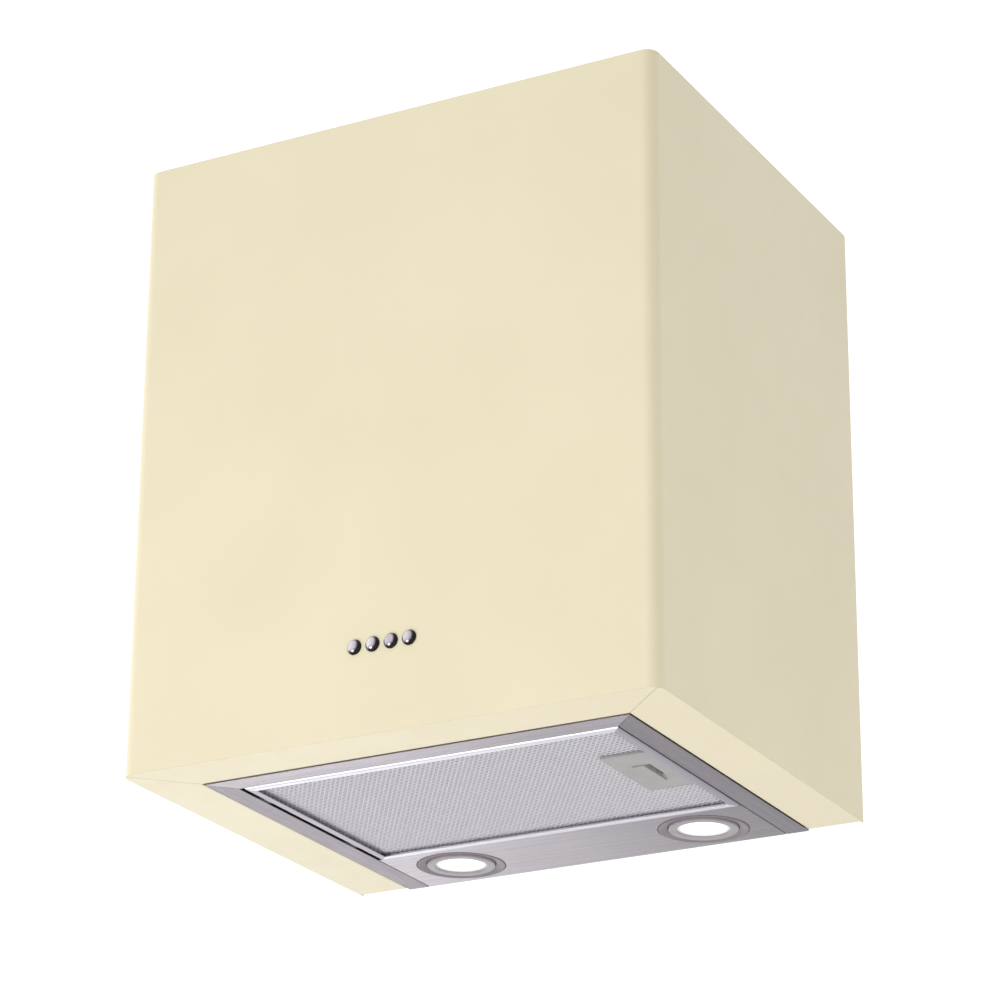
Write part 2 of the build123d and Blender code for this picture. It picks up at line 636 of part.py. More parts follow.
AIR_HALF = 151.0
AIR_FRONT = -271.5
AIR_BACK = -3.0
ROOF = BLOWER_Z + 70.0
MOUTH_NEAR = 12.0
MOUTH_FAR = 94.5
BLOWER_Y = OUTLET_Y - (MOUTH_NEAR + MOUTH_FAR) / 2
SCROLL_HALF = 60.0
SCROLL_SHEET = 1.5
MOTOR_LEAD_X = 100.0
MOTOR_LEAD_Y = -165.0
LAMP_LEAD_XS = (112.0, 132.0)
LAMP_LEAD_Y = -60.0
LEAD_HOLE = 3.0
ROOF_SCREW_X = 68.0
ROOF_SCREW_YS = (BLOWER_Y + 22.0, BLOWER_Y + 84.0)

with BuildPart() as air_box:
    block((-AIR_HALF, AIR_FRONT, INSERT_SHEET_TOP), (AIR_HALF, AIR_BACK, ROOF + SHEET))
    block(
        (-AIR_HALF + SHEET, AIR_FRONT + SHEET, INSERT_SHEET_TOP - 1),
        (AIR_HALF - SHEET, AIR_BACK - SHEET, ROOF),
        Mode.SUBTRACT,
    )
    # the back wall stops above the insert's and lamp panel's turned-up walls
    block(
        (-AIR_HALF, AIR_BACK - SHEET, INSERT_SHEET_TOP - 1),
        (AIR_HALF, AIR_BACK + 1, INSERT_TOP + 0.3),
        Mode.SUBTRACT,
    )
    block(
        (-SCROLL_HALF, BLOWER_Y + MOUTH_NEAR, ROOF - 1),
        (SCROLL_HALF, BLOWER_Y + MOUTH_FAR, ROOF + 2),
        Mode.SUBTRACT,
    )
    rod((MOTOR_LEAD_X, MOTOR_LEAD_Y, ROOF - 1), (0, 0, 1), LEAD_HOLE, 4, Mode.SUBTRACT)
    for x in LAMP_LEAD_XS:
        rod((x, LAMP_LEAD_Y, ROOF - 1), (0, 0, 1), LEAD_HOLE, 4, Mode.SUBTRACT)
    for x in (-ROOF_SCREW_X, ROOF_SCREW_X):
        for y in ROOF_SCREW_YS:
            rod((x, y, ROOF - 1), (0, 0, 1), SCREW_HOLE, 4, Mode.SUBTRACT)
save(air_box, "air_box")

# ---- blower scroll: a spiral wall of three quarter turns with its mouth at the top ----

SPIRAL_STEP = 9.0
SPIRAL_START = IMPELLER_RADIUS + 10.0
INLET_RADIUS = 50.0
MOTOR_BORE = 53.0
ARM_CIRCLE = 64.0
ARMS = 3
ARM_START = 90.0
ARM_TURNS = [(ARM_START + i * 360 / ARMS) * pi / 180 for i in range(ARMS)]
ARM_POINTS = [(BLOWER_Y + ARM_CIRCLE * cos(a), BLOWER_Z + ARM_CIRCLE * sin(a)) for a in ARM_TURNS]
SIDE_PLANE = Plane(origin=(0, BLOWER_Y, BLOWER_Z), x_dir=(0, 1, 0), z_dir=(1, 0, 0))


def volute(wall, mouth):
    """The scroll's outline grown outward by wall, closed across the mouth at height mouth above the axis."""
    near = SPIRAL_STEP / 2
    r1 = SPIRAL_START + wall
    r2 = r1 + SPIRAL_STEP
    r3 = r2 + SPIRAL_STEP
    with BuildSketch(SIDE_PLANE) as section:
        with BuildLine():
            CenterArc((-near, -near), r1, 90, 90)
            CenterArc((near, -near), r2, 180, 90)
            CenterArc((near, near), r3, 270, 90)
            Polyline(
                (near + r3, near),
                (near + r3, mouth),
                (MOUTH_NEAR - wall, mouth),
                (MOUTH_NEAR - wall, r1 - near),
                (-near, r1 - near),
            )
        make_face()
    return section.sketch


def turned_sideways(points, x):
    """Revolve a closed outline of (distance along x, radius) points about the blower's axis, from x."""
    plane = Plane(origin=(x, BLOWER_Y, BLOWER_Z), x_dir=(1, 0, 0), z_dir=(0, -1, 0))
    revolve(outline(points, plane), axis=Axis((x, BLOWER_Y, BLOWER_Z), (1, 0, 0)))


def inlet_flare(side):
    """Add the flared inlet mouth round the bore of one side plate."""
    section = [
        (side * SCROLL_HALF, INLET_RADIUS),
        (side * (SCROLL_HALF + 3.5), INLET_RADIUS + 1.0),
        (side * (SCROLL_HALF + 4.5), INLET_RADIUS + 7.0),
        (side * SCROLL_HALF, INLET_RADIUS + 7.0),
    ]
    turned_sideways(section, 0)


def roof_ear(side, y):
    """Add a screw ear under the roof, on the side plate of the given side."""
    wall = side * (SCROLL_HALF + SCROLL_SHEET / 2)
    span = sorted((wall, side * (ROOF_SCREW_X + 7)))
    block((span[0], y - 7, ROOF - 3), (span[1], y + 7, ROOF))
    rod((side * ROOF_SCREW_X, y, ROOF - 4), (0, 0, 1), SCREW_HOLE, 5, Mode.SUBTRACT)


with BuildPart() as blower_scroll:
    extrude(volute(SCROLL_SHEET, ROOF - BLOWER_Z), amount=SCROLL_HALF + SCROLL_SHEET, both=True)
    extrude(volute(0, ROOF - BLOWER_Z + 1), amount=SCROLL_HALF, both=True, mode=Mode.SUBTRACT)
    block(
        (SCROLL_HALF - 0.001, BLOWER_Y - 200, BLOWER_Z - 200),
        (SCROLL_HALF + 3, BLOWER_Y + 200, BLOWER_Z + 200),
        Mode.SUBTRACT,
    )
    rod((-SCROLL_HALF - 3, BLOWER_Y, BLOWER_Z), (1, 0, 0), MOTOR_BORE, 6, Mode.SUBTRACT)
    inlet_flare(-1)
    for y, z in ARM_POINTS:
        rod((-SCROLL_HALF - 3, y, z), (1, 0, 0), SCREW_HOLE, 6, Mode.SUBTRACT)
    for y in ROOF_SCREW_YS:
        roof_ear(-1, y)
save(blower_scroll, "blower_scroll")

# ---- scroll cover: the right side plate, taken off to draw the impeller out ----

with BuildPart() as scroll_cover:
    plate = volute(SCROLL_SHEET, ROOF - BLOWER_Z).moved(Location((SCROLL_HALF, 0, 0)))
    extrude(plate, amount=SCROLL_SHEET)
    rod((SCROLL_HALF - 1, BLOWER_Y, BLOWER_Z), (1, 0, 0), MOTOR_BORE, 4, Mode.SUBTRACT)
    inlet_flare(1)
    for y in ROOF_SCREW_YS:
        roof_ear(1, y)
save(scroll_cover, "scroll_cover")


# ---- what turns: impeller, shaft and rotor ----

SHAFT_RADIUS = 4.0
SHAFT_LEFT = -128.0
SHAFT_RIGHT = 22.0
MOTOR_LEFT = -124.0
MOTOR_RIGHT = -72.0
MOTOR_RADIUS = 38.0
MOTOR_SHEET = 2.0
BEARING_RADIUS = 11.0
BEARING_WIDTH = 7.0
ROTOR_RADIUS = 20.0
BLADE_INNER = 51.0
BLADE_SHEET = 1.2
RIM_WIDTH = 3.0

with BuildPart() as impeller:
    turned_sideways([(-1, SHAFT_RADIUS), (1, SHAFT_RADIUS), (1, IMPELLER_RADIUS), (-1, IMPELLER_RADIUS)], 0)
    turned_sideways([(-12, SHAFT_RADIUS), (12, SHAFT_RADIUS), (12, 11), (-12, 11)], 0)
    for side in (-1, 1):
        rim = [
            (side * IMPELLER_HALF_WIDTH, BLADE_INNER + 1.5),
            (side * IMPELLER_HALF_WIDTH, IMPELLER_RADIUS),
            (side * (IMPELLER_HALF_WIDTH - RIM_WIDTH), IMPELLER_RADIUS),
            (side * (IMPELLER_HALF_WIDTH - RIM_WIDTH), BLADE_INNER + 1.5),
        ]
        turned_sideways(rim, 0)
    with BuildSketch(SIDE_PLANE) as blades:
        with PolarLocations((BLADE_INNER + IMPELLER_RADIUS) / 2, BLADES):
            Rectangle(IMPELLER_RADIUS - BLADE_INNER - 0.6, BLADE_SHEET, rotation=38)
        with BuildSketch(SIDE_PLANE, mode=Mode.INTERSECT):
            Circle(IMPELLER_RADIUS)
            Circle(BLADE_INNER, mode=Mode.SUBTRACT)
    extrude(amount=IMPELLER_HALF_WIDTH - RIM_WIDTH / 2, both=True)
save(impeller, "impeller")

with BuildPart() as motor_shaft:
    rod((SHAFT_LEFT, BLOWER_Y, BLOWER_Z), (1, 0, 0), SHAFT_RADIUS, SHAFT_RIGHT - SHAFT_LEFT)
    chamfer(motor_shaft.edges().filter_by(GeomType.CIRCLE), length=0.6)
save(motor_shaft, "motor_shaft")

with BuildPart() as motor_rotor:
    turned_sideways([(0, SHAFT_RADIUS), (28, SHAFT_RADIUS), (28, ROTOR_RADIUS), (0, ROTOR_RADIUS)], -112.0)
save(motor_rotor, "motor_rotor")

# ---- motor: can with end caps, stator, bearings, and the arms that hold it off the scroll ----

with BuildPart() as motor_body:
    length = MOTOR_RIGHT - MOTOR_LEFT
    can = [
        (0, BEARING_RADIUS),
        (0, MOTOR_RADIUS),
        (length, MOTOR_RADIUS),
        (length, BEARING_RADIUS),
        (length - BEARING_WIDTH, BEARING_RADIUS),
        (length - BEARING_WIDTH, BEARING_RADIUS + 3),
        (length - MOTOR_SHEET, BEARING_RADIUS + 3),
        (length - MOTOR_SHEET, MOTOR_RADIUS - MOTOR_SHEET),
        (MOTOR_SHEET, MOTOR_RADIUS - MOTOR_SHEET),
        (MOTOR_SHEET, BEARING_RADIUS + 3),
        (BEARING_WIDTH, BEARING_RADIUS + 3),
        (BEARING_WIDTH, BEARING_RADIUS),
    ]
    turned_sideways(can, MOTOR_LEFT)
save(motor_body, "motor_body")

with BuildPart() as motor_stator:
    bore = ROTOR_RADIUS + 0.6
    wall = MOTOR_RADIUS - MOTOR_SHEET - 0.1
    turned_sideways([(0, bore), (26, bore), (26, wall), (0, wall)], -111.0)
save(motor_stator, "motor_stator")

with BuildPart() as motor_bearings:
    for start in (MOTOR_LEFT, MOTOR_RIGHT - BEARING_WIDTH):
        ring = [
            (0.2, SHAFT_RADIUS + 0.05),
            (BEARING_WIDTH - 0.2, SHAFT_RADIUS + 0.05),
            (BEARING_WIDTH - 0.2, BEARING_RADIUS - 0.01),
            (0.2, BEARING_RADIUS - 0.01),
        ]
        turned_sideways(ring, start)
save(motor_bearings, "motor_bearings")

ARM_WIDTH = 12.0
ARM_SHEET = 2.0
ARM_X = MOTOR_RIGHT - 10.0
GROMMET_LENGTH = -SCROLL_HALF - SCROLL_SHEET - ARM_X

with BuildPart() as motor_bracket:
    with BuildSketch(Plane(origin=(ARM_X - ARM_SHEET, BLOWER_Y, BLOWER_Z), x_dir=(0, 1, 0), z_dir=(1, 0, 0))):
        Circle(MOTOR_RADIUS + 5)
        with PolarLocations((MOTOR_RADIUS + ARM_CIRCLE) / 2, ARMS, start_angle=ARM_START):
            Rectangle(ARM_CIRCLE - MOTOR_RADIUS + 10, ARM_WIDTH)
        Circle(MOTOR_RADIUS + 0.05, mode=Mode.SUBTRACT)
        with PolarLocations(ARM_CIRCLE, ARMS, start_angle=ARM_START):
            Circle(2.2, mode=Mode.SUBTRACT)
    extrude(amount=ARM_SHEET)
save(motor_bracket, "motor_bracket")

with BuildPart() as motor_grommets:
    with BuildSketch(Plane(origin=(ARM_X, BLOWER_Y, BLOWER_Z), x_dir=(0, 1, 0), z_dir=(1, 0, 0))):
        with PolarLocations(ARM_CIRCLE, ARMS, start_angle=ARM_START):
            Circle(5.5)
            Circle(2.2, mode=Mode.SUBTRACT)
    extrude(amount=GROMMET_LENGTH)
save(motor_grommets, "motor_grommets")

# ---- outlet: transition duct, collar, two flaps and their pins ----

COLLAR_BORE = SPIGOT_RADIUS - SPIGOT_WALL
SKIRT_LOW = TOP - 28.0
FLAP_Z = TOP - 18.0
FLAP_PIN_X = 4.0
FLAP_RADIUS = COLLAR_BORE - 1.3
FLAP_SHEET = 1.5
FLAP_PIN_RADIUS = 1.2
FLAP_BARREL = 2.5
MOUTH_Y = BLOWER_Y + (MOUTH_NEAR + MOUTH_FAR) / 2


def transition(grow):
    """Loft the duct's shape from the blower's mouth to the collar's skirt, grown outward by grow."""
    low = ROOF + SHEET
    with BuildSketch(Plane.XY.offset(low)) as mouth:
        with Locations((0, MOUTH_Y)):
            RectangleRounded(2 * (SCROLL_HALF + grow), MOUTH_FAR - MOUTH_NEAR + 2 * grow, 6 + grow)
    with BuildSketch(Plane.XY.offset(SKIRT_LOW)) as ring:
        with Locations((0, OUTLET_Y)):
            Circle(COLLAR_BORE - 1 + grow)
    return mouth.sketch, ring.sketch


with BuildPart() as outlet_duct:
    loft(transition(1.5))
    loft(transition(0), mode=Mode.SUBTRACT)
save(outlet_duct, "outlet_duct")

with BuildPart() as outlet_collar:
    turned(
        [
            (COLLAR_BORE, SKIRT_LOW),
            (SPIGOT_RADIUS, SKIRT_LOW),
            (SPIGOT_RADIUS, TOP),
            (SPIGOT_RADIUS + 13.5, TOP),
            (SPIGOT_RADIUS + 13.5, TOP + 3),
            (SPIGOT_RADIUS, TOP + 3),
            (SPIGOT_RADIUS, TOP + SPIGOT_HEIGHT),
            (COLLAR_BORE, TOP + SPIGOT_HEIGHT),
            (COLLAR_BORE, FLAP_Z - FLAP_SHEET - 0.3),
            (COLLAR_BORE - 2.5, FLAP_Z - FLAP_SHEET - 0.3),
            (COLLAR_BORE - 2.5, FLAP_Z - FLAP_SHEET - 1.8),
            (COLLAR_BORE, FLAP_Z - FLAP_SHEET - 3.5),
        ],
        0,
        OUTLET_Y,
    )
    for x in (-FLAP_PIN_X, FLAP_PIN_X):
        start = (x, OUTLET_Y - SPIGOT_RADIUS - 1, FLAP_Z)
        rod(start, (0, 1, 0), FLAP_PIN_RADIUS + 0.02, 2 * SPIGOT_RADIUS + 2, Mode.SUBTRACT)
    with Locations((0, OUTLET_Y, TOP)):
        with PolarLocations(COLLAR_SCREW_CIRCLE, COLLAR_SCREWS, start_angle=45):
            Cylinder(SCREW_HOLE, 8, mode=Mode.SUBTRACT)
save(outlet_collar, "outlet_collar")

with BuildPart() as flap_pins:
    for x in (-FLAP_PIN_X, FLAP_PIN_X):
        start = (x, OUTLET_Y - COLLAR_BORE - 1.5, FLAP_Z)
        rod(start, (0, 1, 0), FLAP_PIN_RADIUS, 2 * COLLAR_BORE + 3)
save(flap_pins, "flap_pins")

for name, side in SIDES.items():
    pin_x = side * FLAP_PIN_X
    with BuildPart() as flap:
        with BuildSketch(Plane.XY.offset(FLAP_Z - FLAP_SHEET)):
            with Locations((0, OUTLET_Y)):
                Circle(FLAP_RADIUS)
            with Locations((-side * (FLAP_RADIUS - FLAP_PIN_X), OUTLET_Y)):
                Rectangle(2 * FLAP_RADIUS, 2 * FLAP_RADIUS + 2, mode=Mode.SUBTRACT)
        extrude(amount=FLAP_SHEET)
        rod((pin_x, OUTLET_Y - 64, FLAP_Z), (0, 1, 0), FLAP_BARREL, 128)
        rod((pin_x, OUTLET_Y - 80, FLAP_Z), (0, 1, 0), FLAP_PIN_RADIUS + 0.07, 160, Mode.SUBTRACT)
        # the plate beyond the barrel's ends stands clear of the pin
        for end in (-1, 1):
            near = sorted((OUTLET_Y + end * 64, OUTLET_Y + end * 80))
            edge = sorted((pin_x - side * 4, pin_x + side * 2.8))
            block((edge[0], near[0], FLAP_Z - 3), (edge[1], near[1], FLAP_Z + 3), Mode.SUBTRACT)
    save(flap, f"flap_{name}")

# ---- controls: four sprung buttons, their guide with its shelf, and the switch block ----

BUTTON_DOME = 3.2
STEM_RADIUS = 3.0
STEM_END = 20.0
RETAINER_RADIUS = 6.0
GUIDE_FRONT = 7.0
GUIDE_BACK = 13.0
SWITCH_FRONT = 16.0
SWITCH_BACK = 44.0
SHELF_Z = BUTTON_Z - 9.3

for number, x in enumerate(BUTTON_XS, start=1):
    with BuildPart() as button:
        with BuildSketch(Plane(origin=(x, FRONT, BUTTON_Z), x_dir=(1, 0, 0), z_dir=(0, 0, 1))):
            with BuildLine():
                ThreePointArc((0, -BUTTON_DOME), (BUTTON_RADIUS * 0.55, -2.75), (BUTTON_RADIUS, -1.1))
                Polyline(
                    (BUTTON_RADIUS, -1.1),
                    (BUTTON_RADIUS, 1.4),
                    (RETAINER_RADIUS, 1.4),
                    (RETAINER_RADIUS, 2.6),
                    (STEM_RADIUS, 2.6),
                    (STEM_RADIUS, STEM_END),
                    (0, STEM_END),
                    (0, -BUTTON_DOME),
                )
            make_face()
        revolve(axis=Axis((x, FRONT, BUTTON_Z), (0, 1, 0)))
    save(button, f"button_{number}")
    spring = coil_spring((x, FRONT + 2.9, BUTTON_Z), (0, 1, 0), 3.9, 0.5, 3.8, 3.5)
    save(spring, f"button_spring_{number}")

with BuildPart() as button_guide:
    block((-30, FRONT + GUIDE_FRONT, SHELF_Z), (30, FRONT + GUIDE_BACK, BUTTON_Z + 9))
    for side in (-1, 1):
        leg = sorted((side * 28, side * 30))
        block((leg[0], FRONT + SHEET + 0.1, SHELF_Z), (leg[1], FRONT + GUIDE_FRONT, BUTTON_Z + 9))
    block((-32, FRONT + SHEET + 0.1, SHELF_Z - 1.2), (32, FRONT + SWITCH_BACK + 2, SHELF_Z))
    block((-32, FRONT + SHEET + 0.1, SHELF_Z - 18), (32, FRONT + SHEET + 1.3, SHELF_Z))
    for x in BUTTON_XS:
        rod((x, FRONT, BUTTON_Z), (0, 1, 0), STEM_RADIUS + 0.08, 20, Mode.SUBTRACT)
save(button_guide, "button_guide")

with BuildPart() as switch_block:
    block((-28, FRONT + SWITCH_FRONT, SHELF_Z), (28, FRONT + SWITCH_BACK, BUTTON_Z + 8))
    for x in BUTTON_XS:
        start = (x, FRONT + SWITCH_FRONT - 1, BUTTON_Z)
        rod(start, (0, 1, 0), STEM_RADIUS + 0.08, STEM_END - SWITCH_FRONT + BUTTON_TRAVEL + 2, Mode.SUBTRACT)
save(switch_block, "switch_block")

# ---- electrics: box with lid on the roof, terminals and lamp driver inside, capacitor beside the duct ----

BOX_LOW = (88.0, -150.0, ROOF + SHEET)
BOX_HIGH = (148.0, -40.0, ROOF + SHEET + 40.0)
BOX_WALL = 2.0
ENTRY_Z = ROOF + 22.0
SWITCH_LEAD_X = 126.0
LID_BOSS = 4.0
LID_POINTS = [
    (x, y)
    for x in (BOX_LOW[0] + BOX_WALL + LID_BOSS - 1, BOX_HIGH[0] - BOX_WALL - LID_BOSS + 1)
    for y in (BOX_LOW[1] + BOX_WALL + LID_BOSS - 1, BOX_HIGH[1] - BOX_WALL - LID_BOSS + 1)
]

with BuildPart() as electrical_box:
    block(BOX_LOW, BOX_HIGH)
    block(
        (BOX_LOW[0] + BOX_WALL, BOX_LOW[1] + BOX_WALL, BOX_LOW[2] + BOX_WALL),
        (BOX_HIGH[0] - BOX_WALL, BOX_HIGH[1] - BOX_WALL, BOX_HIGH[2] + 1),
        Mode.SUBTRACT,
    )
    for x, y in LID_POINTS:
        rod((x, y, BOX_LOW[2]), (0, 0, 1), LID_BOSS, BOX_HIGH[2] - BOX_LOW[2])
        rod((x, y, BOX_HIGH[2] - 12), (0, 0, 1), SCREW_HOLE, 13, Mode.SUBTRACT)
    for x in (MOTOR_LEAD_X, SWITCH_LEAD_X):
        rod((x, BOX_LOW[1] - 1, ENTRY_Z), (0, 1, 0), LEAD_HOLE, 4, Mode.SUBTRACT)
    for x in LAMP_LEAD_XS:
        rod((x, LAMP_LEAD_Y, BOX_LOW[2] - 1), (0, 0, 1), LEAD_HOLE, 4, Mode.SUBTRACT)
save(electrical_box, "electrical_box")

with BuildPart() as electrical_lid:
    block(
        (BOX_LOW[0] - 0.5, BOX_LOW[1] - 0.5, BOX_HIGH[2]),
        (BOX_HIGH[0] + 0.5, BOX_HIGH[1] + 0.5, BOX_HIGH[2] + 1.6),
    )
    for x, y in LID_POINTS:
        rod((x, y, BOX_HIGH[2] - 1), (0, 0, 1), SCREW_HOLE, 4, Mode.SUBTRACT)
save(electrical_lid, "electrical_lid")

FLOOR_Z = BOX_LOW[2] + BOX_WALL
with BuildPart() as terminal_block:
    block((98, -138, FLOOR_Z), (138, -120, FLOOR_Z + 12))
    for i in range(5):
        rod((102 + 8 * i, -124, FLOOR_Z + 6), (0, 0, 1), 2.4, 8, Mode.SUBTRACT)
save(terminal_block, "terminal_block")

with BuildPart() as lamp_driver:
    block((96, -110, FLOOR_Z), (140, -72, FLOOR_Z + 22))
    fillet(lamp_driver.edges().filter_by(Axis.Z), radius=3)
save(lamp_driver, "lamp_driver")

CAPACITOR_X = -112.0
CAPACITOR_RADIUS = 15.0
CAPACITOR_Z = ROOF + SHEET + CAPACITOR_RADIUS + 1.3

with BuildPart() as capacitor:
    rod((CAPACITOR_X, -135, CAPACITOR_Z), (0, 1, 0), CAPACITOR_RADIUS, 62)
    fillet(capacitor.edges().filter_by(GeomType.CIRCLE), radius=1.5)
save(capacitor, "capacitor")

with BuildPart() as capacitor_clamp:
    rod((CAPACITOR_X, -110, CAPACITOR_Z), (0, 1, 0), CAPACITOR_RADIUS + 1.2, 12)
    block((CAPACITOR_X - 28, -110, ROOF + SHEET), (CAPACITOR_X, -98, ROOF + SHEET + 1.2))
    rod((CAPACITOR_X, -111, CAPACITOR_Z), (0, 1, 0), CAPACITOR_RADIUS + 0.05, 14, Mode.SUBTRACT)
save(capacitor_clamp, "capacitor_clamp")

# ---- cable gland through the top panel, and its nut ----

GLAND_BORE = 4.6
GLAND_LOW = TOP - 10.0
GLAND_HIGH = TOP + 17.0
NUT_ACROSS = 11.5

with BuildPart() as cable_gland:
    turned(
        [
            (GLAND_BORE, GLAND_LOW),
            (GLAND_THREAD_RADIUS, GLAND_LOW),
            (GLAND_THREAD_RADIUS, TOP),
            (10.0, TOP),
            (10.0, TOP + 11.0),
            (7.5, GLAND_HIGH),
            (GLAND_BORE, GLAND_HIGH),
        ],
        GLAND_X,
        GLAND_Y,
    )
    with BuildSketch(Plane.XY.offset(TOP)):
        with Locations((GLAND_X, GLAND_Y)):
            RegularPolygon(NUT_ACROSS, 6)
            Circle(GLAND_BORE, mode=Mode.SUBTRACT)
    extrude(amount=5)
save(cable_gland, "cable_gland")

with BuildPart() as gland_nut:
    with BuildSketch(Plane.XY.offset(FLANGE_TOP - 5)):
        with Locations((GLAND_X, GLAND_Y)):
            RegularPolygon(NUT_ACROSS, 6)
            Circle(GLAND_THREAD_RADIUS + 0.02, mode=Mode.SUBTRACT)
    extrude(amount=5)
save(gland_nut, "gland_nut")

# ---- leads held inside, each a tube along straight runs joined by arcs ----

LEAD_RADIUS = 2.2


def lead(points, radii):
    """One lead along its route, with one arc radius for each inner point."""
    with BuildPart() as tube:
        with BuildLine() as route:
            FilletPolyline(*points, radius=radii)
        with BuildSketch(Plane(origin=route.line @ 0, z_dir=route.line % 0)):
            Circle(LEAD_RADIUS)
        sweep(path=route.line)
    return tube.part


SWITCH_TOP = BUTTON_Z + 8
switch_route = [
    (15, FRONT + 30, SWITCH_TOP),
    (15, FRONT + 30, 80),
    (50, FRONT + 45, ENTRY_Z),
    (SWITCH_LEAD_X, BOX_LOW[1] - 60, ENTRY_Z),
    (SWITCH_LEAD_X, BOX_LOW[1] + 4, ENTRY_Z),
]

motor_route = [
    (MOTOR_LEFT, BLOWER_Y, BLOWER_Z + 26),
    (MOTOR_LEFT - 14, BLOWER_Y, BLOWER_Z + 26),
    (MOTOR_LEFT - 14, BLOWER_Y - 20, ROOF - 12),
    (MOTOR_LEFT + 14, AIR_FRONT + 14, ROOF - 10),
    (MOTOR_LEAD_X - 30, AIR_FRONT + 14, ROOF - 10),
    (MOTOR_LEAD_X, MOTOR_LEAD_Y - 30, ROOF - 10),
    (MOTOR_LEAD_X, MOTOR_LEAD_Y, ROOF - 10),
    (MOTOR_LEAD_X, MOTOR_LEAD_Y, ENTRY_Z),
    (MOTOR_LEAD_X, BOX_LOW[1] + 4, ENTRY_Z),
]

lamp_routes = [
    [
        (LAMP_X, LAMP_Y, CAN_TOP),
        (LAMP_X, LAMP_Y, 40),
        (LAMP_LEAD_XS[0], LAMP_LEAD_Y, 65),
        (LAMP_LEAD_XS[0], LAMP_LEAD_Y, FLOOR_Z + 4),
    ],
    [
        (-LAMP_X, LAMP_Y, CAN_TOP),
        (-LAMP_X, LAMP_Y, -150),
        (-60, -20, -125),
        (100, -20, -125),
        (LAMP_LEAD_XS[1], -20, -90),
        (LAMP_LEAD_XS[1], -20, 40),
        (LAMP_LEAD_XS[1], LAMP_LEAD_Y, 70),
        (LAMP_LEAD_XS[1], LAMP_LEAD_Y, FLOOR_Z + 4),
    ],
]
with BuildPart() as inner_leads:
    add(lead(switch_route, [30, 25, 30]))
    add(lead(motor_route, [6, 12, 20, 20, 20, 7, 7]))
    add(lead(lamp_routes[0], [20, 20]))
    add(lead(lamp_routes[1], [20, 20, 20, 20, 20, 14]))
save(inner_leads, "inner_leads")

# ---- screws, one node for each identical group ----

HEAD_RADIUS = 3.6
HEAD_HEIGHT = 2.0
SHANK_RADIUS = 1.75


def pan_screw(under_head, direction, length):
    """Add a pan-head screw from the point under its head, with its shank running along direction."""
    rod(under_head, direction, SHANK_RADIUS, length)
    back = tuple(-c for c in direction)
    rod(under_head, back, HEAD_RADIUS, HEAD_HEIGHT)


with BuildPart() as casing_screws:
    for x, z in CASING_SCREW_POINTS:
        with BuildSketch(Plane(origin=(x, 0, z), x_dir=(1, 0, 0), z_dir=(0, 0, 1))):
            with BuildLine():
                Polyline(
                    (0, -0.1),
                    (HEAD_RADIUS - 0.25, -0.1),
                    (SHANK_RADIUS, -HEAD_RADIUS + SHANK_RADIUS + 0.15),
                    (SHANK_RADIUS, -9),
                    (0, -9),
                    close=True,
                )
            make_face()
        revolve(axis=Axis((x, 0, z), (0, 1, 0)))
save(casing_screws, "casing_screws")

COLLAR_TURNS = [(45 + i * 360 / COLLAR_SCREWS) * pi / 180 for i in range(COLLAR_SCREWS)]
SHEET_SCREW = 8.0

with BuildPart() as sheet_screws:
    for x, y in TOP_SCREW_POINTS:
        pan_screw((x, y, TOP), (0, 0, -1), SHEET_SCREW)
    for turn in COLLAR_TURNS:
        x = COLLAR_SCREW_CIRCLE * cos(turn)
        y = OUTLET_Y + COLLAR_SCREW_CIRCLE * sin(turn)
        pan_screw((x, y, TOP + 3), (0, 0, -1), SHEET_SCREW)
    for x in (-ROOF_SCREW_X, ROOF_SCREW_X):
        for y in ROOF_SCREW_YS:
            pan_screw((x, y, ROOF + SHEET), (0, 0, -1), SHEET_SCREW)
    for side in (-1, 1):
        for y in PANEL_SCREW_YS:
            start = (side * (LAMP_PANEL_HALF_WIDTH - SHEET), y, PANEL_SCREW_Z)
            pan_screw(start, (side, 0, 0), SHEET_SCREW)
    for x, y in LID_POINTS:
        pan_screw((x, y, BOX_HIGH[2] + 1.6), (0, 0, -1), SHEET_SCREW)
save(sheet_screws, "sheet_screws")

with BuildPart() as motor_screws:
    for y, z in ARM_POINTS:
        pan_screw((ARM_X - ARM_SHEET, y, z), (1, 0, 0), GROMMET_LENGTH + ARM_SHEET + SCROLL_SHEET)
save(motor_screws, "motor_screws")
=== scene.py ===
"""Looks of the wall-hung range hood: materials, the expanded filter mesh, soft studio light and the camera.

Metres, in the CAD frame: X runs to the right, +Y towards the wall and +Z up.
"""

import json
import math

import bpy
from mathutils import Matrix, Vector


